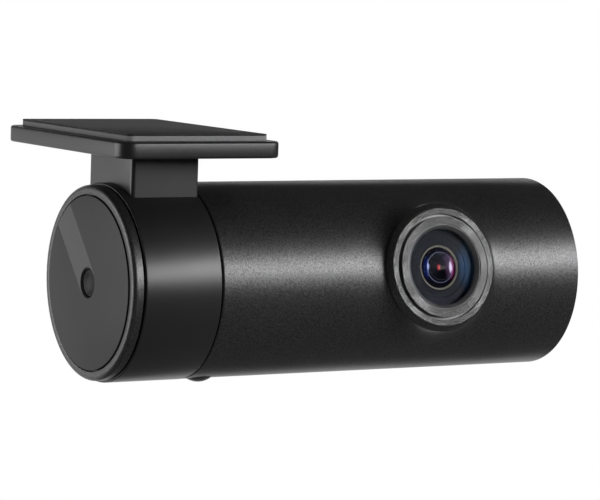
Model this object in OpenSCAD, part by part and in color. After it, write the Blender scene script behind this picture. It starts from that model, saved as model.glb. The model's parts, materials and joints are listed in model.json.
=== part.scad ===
// Cylindrical dash camera on a glass mount. Millimetres, +Z up.
// The origin is the centre of the adhesive film's upper face, which sticks to the windscreen.
// The camera cylinder lies along X, the lens looks toward -Y, the end with the button is at -X.
// The drawn state is the rest state: lens pitched up by lens_pitch, card in, button out.

/* [Camera body] */
// Outside diameter of the camera cylinder
body_d = 34; // [33:0.5:36]
// Length of the cylinder over both ends
body_len = 90.4; // [90:0.1:96]
// Wall of the main shell
shell_wall = 1.5; // [1.3:0.1:1.6]
// How far the lens looks up at rest, degrees
lens_pitch = 10; // [0:1:15]

/* [Mount] */
// Width of the mount plate along the cylinder
plate_w = 30.8; // [28:0.1:34]
// Length of the mount plate across the cylinder
plate_l = 44.8; // [40:0.1:50]
// Thickness of the mount plate
plate_t = 2.8; // [2.4:0.1:3.2]
// Corner radius of the mount plate
plate_r = 3; // [2:0.5:5]
// Border of plate left bare around the pad
pad_inset = 2; // [1:0.5:3]
// Thickness of the foam pad
pad_t = 0.9; // [0.6:0.1:1.2]
// Thickness of the adhesive film
film_t = 0.25; // [0.15:0.05:0.4]
// Depth of the neck front to back
neck_l = 16; // [14:0.5:20]
// Gap between the top of the cylinder and the plate
neck_gap = 5.4; // [4.5:0.1:8]

/* [Lens] */
// Distance of the lens axis from the button end
lens_x = 60.2; // [56:0.1:62]
// Outside radius of the lens boss
boss_r = 11.3; // [11:0.1:11.8]
// How far the boss front stands from the cylinder axis
boss_h = 18.6; // [18.4:0.1:19]
// Radius of the front glass
glass_r = 6.5; // [6.2:0.1:6.6]

/* [Clearances] */
// Radial running clearance of the journal in the collar
run_clear = 0.08; // [0.04:0.01:0.1]
// Gap along X between collar and the turning pieces
side_gap = 0.2; // [0.15:0.05:0.3]
// Radial clearance of the button in its holes
button_clear = 0.08; // [0.05:0.01:0.1]

/* [Hidden] */
$fn = 96;
eps = 0.01;
body_r = body_d / 2;
shell_ri = body_r - shell_wall;

// stations along X
cap_x0 = 0.15;
cap_x1 = 2.08;
collar_x0 = cap_x1 + side_gap;
seam_x = 16.86;
collar_x1 = seam_x - side_gap / 2;
shell_x0 = seam_x + side_gap / 2;
end_x = body_len;

// mount heights
plate_z0 = body_r + neck_gap;
plate_z1 = plate_z0 + plate_t;
foam_z1 = plate_z1 + pad_t;
top_z = foam_z1 + film_t;
plate_cx = 11.9;
plate_cy = 4.2;
pad_w = plate_w - 2 * pad_inset;
pad_l = plate_l - 2 * pad_inset;
pad_r = 1.2;
neck_x0 = 3.9;
neck_y = 0.2;
neck_r = 0.6;
neck_w = collar_x1 - neck_x0;
neck_cx = neck_x0 + neck_w / 2;
collar_proud = 0.04;
collar_r = body_r + collar_proud;
bore_r = 15;
collar_chamfer = 0.25;
plate_screw_dx = 3.8;
plate_screw_dy = 5;
plate_screw_sink = 0.1;
plate_screw_room = 0.15;
screw_r = 1;
screw_head_r = 1.9;
screw_head_h = 1.3;
slot_reach = 0.6;
slot_width = 0.24;
screw_len = 6;
pilot_r = 0.95;

// journal and stop
journal_r = bore_r - run_clear;
journal_ri = 13.3;
groove_r = 14;
stop_r = 14.25;
stop_root = 0.5;
stop_x0 = 4;
stop_x1 = 5.4;
stop_half = 5;
stop_mid = 90;
stop_sweep = 97;
stop_entry_slack = 2;
groove_slack = 0.4;
ring_x = 11;
ring_w = 1.2;
ring_t = 0.46;
ring_clear = 0.05;

// end cap, disc and button
cap_r = body_r - 0.31;
cap_round = 0.8;
recess_r = 15.08;
disc_r = 14.89;
disc_t = 0.9;
disc_chamfer = 0.15;
floor_x0 = disc_t + 0.05;
stripe_half = 3;
stripe_depth = 0.4;
stripe_angle = 58.5;
stripe_fit = 0.04;
button_r = 2.26;
button_hole_r = button_r + button_clear;
button_mouth_r = 2.64;
button_x0 = 0.35;
button_flange_r = 3;
button_pass_r = 2.6;
button_flange_x = cap_x1 + 0.12;
button_flange_t = 0.8;
button_stem_r = 1.2;
button_x1 = 4.8;
dish_r = 5;
dish_depth = 0.45;
spigot_x1 = 3.6;
spigot_r = journal_ri - 0.05;
spigot_ri = 4;
cap_screw_n = 3;
cap_screw_ring = 11.4;
cap_boss_r = 1.9;
cap_boss_x1 = 9.6;
cap_boss_len = 5;
cap_screw_head_r = 1.5;
cap_screw_head_h = 0.5;
small_shank_r = 0.8;
small_pilot_r = 0.75;
cap_screw_len = 5;
sensor_screw_len = 6;
screw_fit = 0.1;
screw_seat = 0.05;
boss_gap = 0.3;
switch_x0 = 5.6;
switch_x1 = 8;
switch_w = 5.2;
switch_hole_r = 1.05;
switch_hole_d = 1.5;
board_screw_len = 3;
button_board_screw_len = 3.6;
board_boss_floor = 0.6;
plunger_r = 0.98;
plunger_x1 = 6.4;
pcb_t = 1;
button_board_r = 12.9;
board_screw_ring = 10.8;
board_boss_r = 1.7;
board_boss_x1 = 13;

// lens stack, distances from the cylinder axis toward the front
bezel_r1 = 10.31;
bezel_r0 = 9.3;
bezel_h0 = 17.1;
bezel_out = 0.05;
ring_chamfer = 0.12;
seat_r = 10.35;
surround_r = 9.26;
surround_h1 = 18.1;
surround_ri = 6.72;
cone_top_r = 7.46;
cone_top_h = 18.95;
cone_low_h = 18.3;
trim_r0 = 7.52;
trim_r1 = 8.88;
trim_h1 = 19.1;
boss_hole_r = 6.9;
glass_h0 = 17.2;
glass_edge_h = 18.35;
glass_dome = 30;
glass_back_r = 9;
glass_back_top = 18.3;
barrel_top = 17.15;
barrel_head_r = 6.6;
barrel_head_h = 13;
barrel_r = 6;
barrel_low = 4.2;
barrel_bore = 5.3;
baffle_h0 = 14.5;
baffle_h1 = 17.1;
baffle_hole_r = 3.6;
baffle_lip = 0.25;
middle_r = 3.57;
middle_h0 = 14.6;
middle_h1 = 18;
middle_front_r = 6;
middle_back_r = 12;
rear_h0 = 5;
rear_h1 = 9;
rear_front_r = 11;
rear_back_r = 14;
element_fit = 0.03;
holder_w = 13.6;
holder_h2 = 5.2;
holder_tube_r = 6.95;
thread_gap = 0.03;
holder_h0 = 1.2;
holder_h1 = 11;
filter_h0 = 3.2;
filter_t = 0.3;
filter_fit = 0.05;
filter_ledge = 0.4;
filter_w = 8.6;
window_w = 7.4;
sensor_cavity_w = 9;
sensor_w = 6.6;
sensor_l = 7.6;
sensor_t = 1;
sboard_h0 = 0.2;
sboard_w = 22;
sboard_l = 13.6;
post_dx = 9.3;
post_r = 1.6;
post_pilot_h = 7;
seal_h0 = 15.9;
seal_h1 = 16.9;

// inner frame and boards
flange_x1 = 19.4;
bulkhead_t = 1.4;
flange_r = shell_ri - 0.05;
tray_z0 = -11.5;
tray_z1 = -10.7;
tray_y = 9.6;
tray_x1 = 84;
standoff_r = 1.8;
board_z0 = -10;
board_z1 = board_z0 + pcb_t;
board_x0 = 20.4;
board_x1 = 83;
board_y = 10.4;
board_hole_x = [22.8, 80.6];
board_hole_y = 7.6;
shelf_z0 = -0.8;
shelf_z1 = 0.4;
shelf_x1 = 41;
shelf_y = 11;
lug_x0 = 78;
lug_x1 = 80;
lug_y0 = 9;
lug_y1 = 13.4;
lug_z1 = 8.6;
lug_hole_y = 11.2;
lug_hole_z = 5.4;
lug_z0 = -4;
lug_foot_z0 = -11;
lug_foot_gap = 0.3;
lug_web = 1.8;
wall_half = 0.6;
wall_z0 = -6;
flex_window_z0 = -9.6;
flex_window_z1 = -6.4;
flex_window_gap = 1.2;
bulkhead_rim = 3;
shell_boss_r = 2.1;
shell_boss_len = 4;
shell_chamfer = 0.35;
boss_chamfer = 0.9;
shell_screw_len = 6.2;
boss_root = 0.5;
cap2_x0 = body_len - 1.9;
cap2_x1 = body_len - 0.25;
cap2_spigot_x = body_len - 5;
cap2_spigot_ri = 14;
speaker_r = 11;
speaker_x0 = body_len - 6.8;
speaker_x1 = body_len - 2.5;
speaker_rim_t = 1.3;
speaker_rim_w = 1.2;
speaker_magnet_t = 1.6;
speaker_magnet_r = 6.05;
cone_fit = 0.05;
cone_edge_h = 0.9;
cone_edge_w = 0.8;
cone_low_r = 4;
cone_low_x = 0.3;
cone_cap_r = 3;
cone_cap_x = 0.6;
cone_tip_x = 0.8;
gasket_ri = 9.6;
grille_r = 0.7;
grille_pitch = 3.2;
grille_rings = 2.2;
grille_half = 2;

// ports, card and lamps
inlet_x = 72;
inlet_w = 8.94;
inlet_h = 3.2;
inlet_wall = 0.3;
inlet_y0 = 6.4;
inlet_y1 = 14.3;
inlet_z = board_z1 + inlet_h / 2;
inlet_room = 0.5;
inlet_cut_y0 = 5;
inlet_back = 1;
tongue_short = 1.2;
tongue_base_fit = 0.7;
tongue_w = 6.6;
tongue_t = 0.7;
card_x = 44;
card_w = 11;
card_l = 15;
card_t = 0.8;
card_y0 = 0.4;
card_z0 = board_z1 + 0.55;
card_gap = 0.25;
card_slot_w = 12.2;
card_slot_h = 1.6;
card_slot_y0 = 8;
card_step_y = 6.4;
card_step_w = 1.3;
card_grip_w = 7;
card_grip_y0 = 1.2;
card_grip_y1 = 0.6;
card_grip_t = 0.2;
socket_w = 13.6;
socket_y0 = -1;
socket_y1 = 12.6;
socket_back = 0.3;
socket_window_w = 6;
socket_window_y1 = 8;
socket_floor = 1;
socket_h = 1.9;
lamp_x = 20.5;
lamp_r = 2.15;
lamp_out = 0.66;
lamp_stem_r = 1.3;
lamp_dome = 3.8;
led_t = 0.6;
led_gap = 0.15;
led_x0 = lamp_x - 0.05;
led_x1 = lamp_x + 1.2;
led_half = 0.8;
lamp_head = 2.1;
lamp_fit = 0.05;
lamp_stem_gap = 0.4;
mic_x = 30;
mic_l = 3.8;
mic_w = 3;
mic_t = 1;
mic_hole_r = 0.5;
mic_boot_r = 1.5;
mic_boot_gap = 1.6;
mic_port_r = 0.3;
mic_port_d = 0.6;
heat_w = 15;
heat_base = 1;
fin_h = 3;
fin_t = 0.8;
fin_n = 5;
sink_notch = 1.6;
chip_x = 28.6;
chip_w = 11;
chip_t = 1.2;
pad_film = 0.6;
super_r = 4;
super_x0 = 22;
super_x1 = 38;
super_y = 4.6;
super_z = shelf_z1 + super_r;
lead_r = 0.3;
lead_x0 = 42.2;
lead_x1 = 52;
lead_z = -4;
lead_pitch = 2.6;
flex_t = 0.15;
flex_w = 7;
plug_wall = 0.8;
plug_t = 0.9;
plug_len = 1.4;
button_flex_z0 = -8;
button_flex_z1 = -2;
button_plug_z0 = -5;
flex_end_x = board_x0 + 1.6;
sensor_flex_z0 = -6;
sensor_flex_z1 = -2;
sensor_flex_bend = 3;

// small parts of the main board, [x, y, length, width, height]
MEMORY_CHIPS = [[53, -9, 6, 6, 0.9], [61, -9, 6, 6, 0.9]];
POWER_PARTS = [[71, -8, 4, 4, 2.4], [76.5, -4.6, 2, 3, 1.5], [71.5, -2, 1.5, 1.6, 0.8],
    [75, 0, 1.6, 1.6, 0.8]];
ANTENNA = [76.4, -10, 2, 3.8, 1];

// ---------- helpers ----------

// moves pieces drawn about the cylinder axis into the part's frame
module at_mount() {
    translate([-plate_cx, -plate_cy, -top_z]) children();
}

// same, for what turns with the camera
module at_camera() {
    at_mount() rotate([-lens_pitch, 0, 0]) children();
}

// solid disc or tube along X
module bar_x(x0, x1, r) {
    translate([x0, 0, 0]) rotate([0, 90, 0]) cylinder(h = x1 - x0, r = r);
}

// disc with its front edge chamfered, along X
module disc_x(x0, x1, r, c) {
    rotate([0, 90, 0]) rotate_extrude()
        polygon([[0, x0], [r - c, x0], [r, x0 + c], [r, x1], [0, x1]]);
}

// round bar toward the lens, between two distances from the axis
module bar_lens(h0, h1, r) {
    translate([lens_x, 0, 0]) rotate([90, 0, 0]) translate([0, 0, h0]) cylinder(h = h1 - h0, r = r);
}

// profile turned about the lens axis; points are [radius, distance from the cylinder axis]
module turn_lens(points) {
    translate([lens_x, 0, 0]) rotate([90, 0, 0]) rotate_extrude() polygon(points);
}

// straight box given by two corners
module block(a, b) {
    translate(a) cube([b[0] - a[0], b[1] - a[1], b[2] - a[2]]);
}

// flat plate with round corners, centred in X and Y
module round_plate(w, l, r, t) {
    linear_extrude(height = t) union() {
        square([w - 2 * r, l], center = true);
        square([w, l - 2 * r], center = true);
        for (sx = [-1, 1]) for (sy = [-1, 1])
            translate([sx * (w / 2 - r), sy * (l / 2 - r)]) circle(r = r);
    }
}

// slot with round ends lying along X, running along Y
module port_slot(x, z, w, h, y0, y1) {
    for (s = [-1, 1])
        translate([x + s * (w - h) / 2, y0, z]) rotate([-90, 0, 0]) cylinder(h = y1 - y0, d = h);
    block([x - (w - h) / 2, y0, z - h / 2], [x + (w - h) / 2, y1, z + h / 2]);
}

// part of a ring about X, centred on an angle measured from +Y toward +Z
module arc_x(x0, x1, r0, r1, mid, half) {
    translate([x0, 0, 0]) rotate([mid - half, 0, 0]) rotate([90, 0, 90])
        rotate_extrude(angle = 2 * half) translate([r0, 0]) square([r1 - r0, x1 - x0]);
}

// screw along its own -Z with the head on top at z = 0
module screw(r, len, head_r, head_h) {
    difference() {
        union() {
            translate([0, 0, -len]) cylinder(h = len, r = r);
            translate([0, 0, -head_h]) cylinder(h = head_h, r = head_r);
        }
        for (a = [0, 90]) rotate([0, 0, a])
            translate([-head_r * slot_reach, -head_r * slot_width / 2, -head_h / 2])
                cube([2 * head_r * slot_reach, head_r * slot_width, head_h]);
    }
}

// places children at the end cap screws, their -Z pointing into the body
module at_cap_screws() {
    for (i = [0 : cap_screw_n - 1]) rotate([i * 360 / cap_screw_n + 30, 0, 0])
        translate([0, cap_screw_ring, 0]) rotate([0, -90, 0]) children();
}

// the two screws of the button board, same direction
module at_board_bosses() {
    for (s = [-1, 1]) translate([0, s * board_screw_ring, 0]) rotate([0, -90, 0]) children();
}

// ---------- mount ----------

module adhesive_film() {
    color([0.05, 0.05, 0.05]) at_mount()
        translate([plate_cx, plate_cy, foam_z1]) round_plate(pad_w, pad_l, pad_r, film_t);
}

module foam_pad() {
    color([0.45, 0.45, 0.46]) at_mount()
        translate([plate_cx, plate_cy, plate_z1]) round_plate(pad_w, pad_l, pad_r, pad_t);
}

module at_plate_screws() {
    for (sx = [-1, 1]) for (sy = [-1, 1])
        translate([neck_cx + sx * plate_screw_dx, neck_y + sy * plate_screw_dy, plate_z1])
            children();
}

module mount_plate() {
    color([0.2, 0.2, 0.21]) at_mount() difference() {
        translate([plate_cx, plate_cy, plate_z0]) round_plate(plate_w, plate_l, plate_r, plate_t);
        at_plate_screws() translate([0, 0, -screw_head_h - plate_screw_sink])
            cylinder(h = screw_head_h + 1, r = screw_head_r + plate_screw_room);
        at_plate_screws() translate([0, 0, -plate_t - 1])
            cylinder(h = plate_t + 2, r = screw_r + screw_fit);
    }
}

module plate_screws() {
    color([0.6, 0.6, 0.62]) at_mount() at_plate_screws()
        translate([0, 0, -plate_screw_sink])
            screw(screw_r - screw_fit, screw_len, screw_head_r, screw_head_h);
}

module neck_block() {
    translate([neck_cx, neck_y, 0]) round_plate(neck_w, neck_l, neck_r, plate_z0);
}

// the collar before it is bored
module collar_blank() {
    c = collar_chamfer;
    rotate([90, 0, 90]) rotate_extrude() polygon([
        [0, collar_x0], [collar_r - c, collar_x0], [collar_r, collar_x0 + c],
        [collar_r, collar_x1 - c], [collar_r - c, collar_x1], [0, collar_x1]]);
}

module neck_collar() {
    color([0.2, 0.2, 0.21]) at_mount() {
        difference() {
            union() {
                collar_blank();
                neck_block();
            }
            bar_x(0, end_x, bore_r);
            at_plate_screws() translate([0, 0, -screw_len - plate_t])
                cylinder(h = screw_len + 1, r = pilot_r);
        }
        arc_x(stop_x0, stop_x1, stop_r, bore_r + stop_root, stop_mid, stop_half);
    }
}

// ---------- button end ----------

module end_cap() {
    r0 = cap_round;
    color([0.22, 0.22, 0.23]) at_camera() difference() {
        union() {
            rotate([90, 0, 90]) rotate_extrude() union() {
                translate([0, cap_x0 + r0]) square([cap_r, cap_x1 - cap_x0 - r0]);
                translate([0, cap_x0]) square([cap_r - r0, cap_x1 - cap_x0]);
                translate([cap_r - r0, cap_x0 + r0]) circle(r = r0);
            }
            bar_x(cap_x1 - eps, spigot_x1, spigot_r);
        }
        bar_x(-1, floor_x0, recess_r);
        bar_x(-1, cap_x1 + 1, button_pass_r);
        bar_x(cap_x1, spigot_x1 + 1, spigot_ri);
        at_cap_screws() {
            translate([0, 0, -spigot_x1 - 1])
                cylinder(h = spigot_x1 + 1, r = small_shank_r + screw_fit);
            translate([0, 0, -floor_x0 - cap_screw_head_h - screw_seat])
                cylinder(h = 2, r = cap_screw_head_r + screw_fit);
        }
    }
}

module end_cap_screws() {
    color([0.6, 0.6, 0.62]) at_camera() at_cap_screws()
        translate([0, 0, -floor_x0 - screw_seat])
            screw(small_pilot_r, cap_screw_len, cap_screw_head_r, cap_screw_head_h);
}

// bar from the disc's centre outward along the stripe
module stripe_bar(half, x0, x1) {
    rotate([stripe_angle, 0, 0]) block([x0, 0, -half], [x1, disc_r + 1, half]);
}

module end_disc() {
    color([0.3, 0.3, 0.31]) at_camera() difference() {
        disc_x(0, disc_t, disc_r, disc_chamfer);
        bar_x(-1, disc_t + 1, button_hole_r);
        translate([-eps, 0, 0]) rotate([0, 90, 0])
            cylinder(h = button_mouth_r - button_hole_r, r1 = button_mouth_r, r2 = button_hole_r);
        difference() {
            stripe_bar(stripe_half + stripe_fit, -1, stripe_depth);
            bar_x(-1, disc_t + 1, button_mouth_r);
        }
    }
}

module end_stripe() {
    color([0.45, 0.45, 0.46]) at_camera() difference() {
        intersection() {
            stripe_bar(stripe_half, -1, stripe_depth);
            disc_x(0, disc_t, disc_r, disc_chamfer);
        }
        bar_x(-1, disc_t + 1, button_mouth_r + stripe_fit);
    }
}

module power_button() {
    f0 = button_flange_x;
    f1 = button_flange_x + button_flange_t;
    color([0.1, 0.1, 0.1]) at_camera() difference() {
        union() {
            bar_x(button_x0, f0 + eps, button_r);
            bar_x(f0, f1, button_flange_r);
            bar_x(f1 - eps, button_x1, button_stem_r);
        }
        translate([button_x0 - dish_r + dish_depth, 0, 0]) sphere(r = dish_r);
    }
}

module switch_plunger() {
    color([0.85, 0.85, 0.82]) at_camera() bar_x(button_x1, plunger_x1, plunger_r);
}

module tact_switch() {
    w = switch_w / 2;
    color([0.55, 0.55, 0.56]) at_camera() difference() {
        block([switch_x0, -w, -w], [switch_x1, w, w]);
        bar_x(switch_x0 - 1, switch_x0 + switch_hole_d, switch_hole_r);
    }
}

module button_board() {
    color([0.05, 0.25, 0.12]) at_camera() difference() {
        bar_x(switch_x1, switch_x1 + pcb_t, button_board_r);
        at_board_bosses() translate([0, 0, -cap_boss_x1])
            cylinder(h = cap_boss_len, r = small_shank_r + screw_fit);
        at_cap_screws() translate([0, 0, -cap_boss_x1]) union() {
            cylinder(h = cap_boss_len, r = cap_boss_r + boss_gap);
            translate([-cap_boss_r - boss_gap, 0, 0])
                cube([2 * (cap_boss_r + boss_gap), cap_boss_len, cap_boss_len]);
        }
    }
}

module button_board_screws() {
    color([0.6, 0.6, 0.62]) at_camera() at_board_bosses()
        translate([0, 0, -switch_x1 + cap_screw_head_h])
            screw(small_pilot_r, button_board_screw_len, cap_screw_head_r, cap_screw_head_h);
}

module button_flex() {
    w = flex_w / 2;
    x0 = switch_x1 + pcb_t + plug_t;
    z0 = button_flex_z0;
    color([0.75, 0.45, 0.1]) at_camera() {
        block([x0, -w, z0], [x0 + flex_t, w, button_flex_z1]);
        block([x0, -w, z0], [flex_end_x, w, z0 + flex_t]);
    }
}

module flex_connectors() {
    w = flex_w / 2 + plug_wall;
    x0 = switch_x1 + pcb_t;
    color([0.9, 0.9, 0.88]) at_camera() {
        block([x0, -w, button_plug_z0], [x0 + plug_t, w, button_flex_z1]);
        block([flex_end_x - plug_len, -w, board_z1], [flex_end_x, w, button_flex_z0]);
    }
}

// ---------- inner frame ----------

module friction_ring() {
    color([0.05, 0.05, 0.05]) at_camera() rotate([90, 0, 90]) rotate_extrude()
        translate([bore_r - ring_clear - ring_t, ring_x]) circle(r = ring_t);
}

module journal() {
    s = groove_slack;
    difference() {
        bar_x(cap_x1, flange_x1, journal_r);
        bar_x(0, end_x, journal_ri);
        arc_x(stop_x0 - s, stop_x1 + s, groove_r, body_r, stop_mid, stop_sweep);
        arc_x(0, stop_x0, groove_r, body_r, stop_mid, stop_half + stop_entry_slack);
        difference() {
            bar_x(ring_x - ring_w / 2, ring_x + ring_w / 2, body_r);
            bar_x(0, end_x, groove_r);
        }
    }
}

module chassis() {
    f = flange_r;
    color([0.12, 0.12, 0.13]) at_camera() difference() {
        union() {
            journal();
            difference() {
                bar_x(shell_x0, flange_x1, f);
                bar_x(0, shell_x0 + bulkhead_t, journal_ri - bulkhead_rim);
                bar_x(shell_x0 + bulkhead_t, end_x, journal_ri);
            }
            difference() {
                bar_x(shell_x0, shell_x0 + bulkhead_t, journal_ri);
                block([shell_x0 - 1, -flex_w / 2 - flex_window_gap, flex_window_z0],
                    [flange_x1, flex_w / 2 + flex_window_gap, flex_window_z1]);
            }
            intersection() {
                bar_x(cap_x1, flange_x1, journal_ri + 0.3);
                union() {
                    at_cap_screws() translate([0, 0, -cap_boss_x1])
                        cylinder(h = cap_boss_x1 - spigot_x1, r = cap_boss_r);
                    for (i = [0 : cap_screw_n - 1]) rotate([i * 360 / cap_screw_n + 30, 0, 0])
                        block([spigot_x1, cap_screw_ring, -cap_boss_r],
                            [cap_boss_x1, journal_ri + 1, cap_boss_r]);
                    at_board_bosses() translate([0, 0, -board_boss_x1])
                        cylinder(h = board_boss_x1 - switch_x1 - pcb_t, r = board_boss_r);
                    for (s = [0, 180]) rotate([s, 0, 0])
                        block([switch_x1 + pcb_t, board_screw_ring, -board_boss_r],
                            [board_boss_x1, journal_ri + 1, board_boss_r]);
                }
            }
            intersection() {
                bar_x(shell_x0, end_x, f);
                union() {
                    block([shell_x0, -tray_y, tray_z0], [tray_x1, tray_y, tray_z1]);
                    block([shell_x0, -shelf_y, shelf_z0], [shelf_x1, shelf_y, shelf_z1]);
                    for (s = [-1, 1])
                        block([shell_x0, s * shelf_y - wall_half, wall_z0],
                            [shelf_x1, s * shelf_y + wall_half, super_z]);
                }
            }
            intersection() {
                bar_x(shell_x0, end_x, f);
                for (s = [0, 1]) mirror([0, s, 0]) union() {
                    block([lug_x0, lug_y0, lug_z0], [lug_x1, lug_y1, lug_z1]);
                    block([lug_x0, board_y + lug_foot_gap, lug_foot_z0], [lug_x1, lug_y1, 0]);
                    block([lug_x0, tray_y - 1, tray_z0], [lug_x1, board_y + lug_web, tray_z1]);
                }
            }
            for (x = board_hole_x) for (s = [-1, 1])
                translate([x, s * board_hole_y, tray_z1 - eps])
                    cylinder(h = board_z0 - tray_z1 + eps, r = standoff_r);
        }
        at_cap_screws() translate([0, 0, -cap_boss_x1]) cylinder(h = cap_boss_x1, r = small_pilot_r);
        at_board_bosses() translate([0, 0, board_boss_floor - board_boss_x1])
            cylinder(h = board_boss_x1, r = small_pilot_r);
        for (x = board_hole_x) for (s = [-1, 1])
            translate([x, s * board_hole_y, tray_z0 - 1]) cylinder(h = 3, r = small_pilot_r);
        translate([lamp_x, 0, -body_r])
            cylinder(h = body_r + tray_z1 + 1, r = lamp_stem_r + lamp_stem_gap);
        translate([mic_x, 0, tray_z0 - 1])
            cylinder(h = tray_z1 - tray_z0 + 2, r = mic_boot_r + mic_boot_gap);
        for (s = [-1, 1]) translate([lug_x0 - 1, s * lug_hole_y, lug_hole_z]) rotate([0, 90, 0])
            cylinder(h = lug_x1 - lug_x0 + 2, r = small_pilot_r);
    }
}

// ---------- main shell ----------

module main_shell() {
    c = shell_chamfer;
    d = boss_chamfer;
    color([0.16, 0.16, 0.17]) at_camera() difference() {
        union() {
            rotate([90, 0, 90]) rotate_extrude() polygon([
                [shell_ri, shell_x0], [body_r - c, shell_x0], [body_r, shell_x0 + c],
                [body_r, end_x - c], [body_r - c, end_x], [shell_ri, end_x]]);
            difference() {
                turn_lens([[0, 0], [boss_r, 0], [boss_r, boss_h - d], [boss_r - d, boss_h], [0, boss_h]]);
                bar_x(0, end_x, shell_ri);
            }
            for (s = [-1, 1]) translate([s * post_dx, 0, 0])
                bar_lens(sboard_h0 + pcb_t, shell_ri + boss_root, post_r);
            intersection() {
                bar_x(0, end_x, shell_ri + boss_root);
                for (s = [0, 1]) mirror([0, s, 0]) union() {
                    translate([lug_x1, lug_hole_y, lug_hole_z]) rotate([0, 90, 0])
                        cylinder(h = shell_boss_len, r = shell_boss_r);
                    block([lug_x1, lug_hole_y, lug_hole_z - shell_boss_r],
                        [lug_x1 + shell_boss_len, body_r, lug_hole_z + shell_boss_r]);
                }
            }
        }
        bar_lens(bezel_h0, boss_h + 1, seat_r);
        bar_lens(0, boss_h + 1, boss_hole_r);
        for (s = [-1, 1]) translate([s * post_dx, 0, 0]) bar_lens(0, post_pilot_h, small_pilot_r);
        for (s = [-1, 1]) translate([lug_x1 - 1, s * lug_hole_y, lug_hole_z])
            rotate([0, 90, 0]) cylinder(h = shell_boss_len + 2, r = small_shank_r + screw_fit);
        port_slot(inlet_x, inlet_z, inlet_w + 2 * inlet_room, inlet_h + 2 * inlet_room,
            inlet_cut_y0, body_r + 2);
        port_slot(card_x, card_z0 + card_t / 2, card_slot_w, card_slot_h, card_slot_y0, body_r + 2);
        translate([lamp_x, 0, -body_r - 1]) cylinder(h = shell_wall + 2, r = lamp_r + lamp_fit);
        translate([mic_x, 0, -body_r - 1]) cylinder(h = shell_wall + 2, r = mic_hole_r);
    }
}

module chassis_screws() {
    color([0.6, 0.6, 0.62]) at_camera() for (s = [-1, 1])
        translate([lug_x1 + shell_boss_len + cap_screw_head_h, s * lug_hole_y, lug_hole_z])
            rotate([0, 90, 0]) screw(small_pilot_r, shell_screw_len, cap_screw_head_r, cap_screw_head_h);
}

// hexagonal pattern of the sound holes
module grille_holes() {
    for (i = [-grille_half : grille_half]) for (j = [-grille_half : grille_half]) {
        y = (i + j / 2) * grille_pitch;
        z = j * grille_pitch * sqrt(3) / 2;
        if (sqrt(y * y + z * z) < grille_rings * grille_pitch)
            translate([cap2_x0 - 1, y, z]) rotate([0, 90, 0]) cylinder(h = 5, r = grille_r);
    }
}

module right_end_cap() {
    color([0.2, 0.2, 0.21]) at_camera() difference() {
        union() {
            bar_x(cap2_x0, cap2_x1, shell_ri - 0.05);
            bar_x(cap2_spigot_x, cap2_x0 + eps, shell_ri - 0.05);
        }
        bar_x(cap2_spigot_x - 1, cap2_x0, cap2_spigot_ri);
        grille_holes();
    }
}

module speaker() {
    color([0.3, 0.3, 0.32]) at_camera() difference() {
        union() {
            bar_x(speaker_x0 + speaker_magnet_t, speaker_x1, speaker_r);
            bar_x(speaker_x0, speaker_x0 + speaker_magnet_t + eps, speaker_magnet_r);
        }
        bar_x(speaker_x1 - speaker_rim_t, speaker_x1 + 1, speaker_r - speaker_rim_w);
    }
}

module speaker_cone() {
    x0 = speaker_x1 - speaker_rim_t;
    x1 = x0 + cone_edge_h;
    r0 = speaker_r - speaker_rim_w - cone_fit;
    color([0.1, 0.1, 0.1]) at_camera() rotate([90, 0, 90]) rotate_extrude() polygon([
        [0, x0], [r0, x0], [r0, x1], [r0 - cone_edge_w, x1], [cone_low_r, x0 + cone_low_x],
        [cone_cap_r, x0 + cone_cap_x], [0, x0 + cone_tip_x]]);
}

module speaker_gasket() {
    color([0.08, 0.08, 0.08]) at_camera() difference() {
        bar_x(speaker_x1, cap2_x0, speaker_r);
        bar_x(speaker_x1 - 1, cap2_x0 + 1, gasket_ri);
    }
}

// ---------- lens group ----------

module lens_bezel() {
    h1 = boss_h + bezel_out;
    c = ring_chamfer;
    color([0.75, 0.75, 0.76]) at_camera() turn_lens([
        [bezel_r0, bezel_h0], [bezel_r1, bezel_h0], [bezel_r1, h1 - c], [bezel_r1 - c, h1],
        [bezel_r0 + c, h1], [bezel_r0, h1 - c]]);
}

module lens_surround() {
    color([0.04, 0.04, 0.04]) at_camera() turn_lens([
        [surround_ri, bezel_h0], [surround_r, bezel_h0], [surround_r, surround_h1],
        [cone_top_r, surround_h1], [cone_top_r, cone_top_h], [cone_top_r - ring_chamfer, cone_top_h],
        [surround_ri, cone_low_h]]);
}

module lens_trim_ring() {
    h = trim_h1;
    c = ring_chamfer;
    color([0.7, 0.7, 0.71]) at_camera() turn_lens([
        [trim_r0, surround_h1], [trim_r1, surround_h1], [trim_r1, h - c], [trim_r1 - c, h],
        [trim_r0 + c, h], [trim_r0, h - c]]);
}

module front_lens() {
    s = sqrt(glass_dome * glass_dome - glass_r * glass_r);
    color([0.1, 0.12, 0.16, 0.4]) at_camera() difference() {
        intersection() {
            bar_lens(glass_h0, glass_edge_h + 2, glass_r);
            translate([lens_x, -(glass_edge_h - s), 0]) sphere(r = glass_dome);
        }
        translate([lens_x, glass_back_r - glass_back_top, 0]) sphere(r = glass_back_r);
    }
}

module lens_barrel() {
    color([0.05, 0.05, 0.05]) at_camera() turn_lens([
        [barrel_bore, barrel_low], [barrel_r, barrel_low], [barrel_r, barrel_head_h],
        [barrel_head_r, barrel_head_h], [barrel_head_r, barrel_top], [barrel_bore, barrel_top]]);
}

module lens_baffle() {
    r = barrel_bore - element_fit;
    color([0.25, 0.22, 0.12]) at_camera() turn_lens([
        [baffle_hole_r, baffle_h0], [r, baffle_h0], [r, baffle_h1],
        [baffle_hole_r + baffle_lip, baffle_h1], [baffle_hole_r, baffle_h1 - baffle_lip]]);
}

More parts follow.
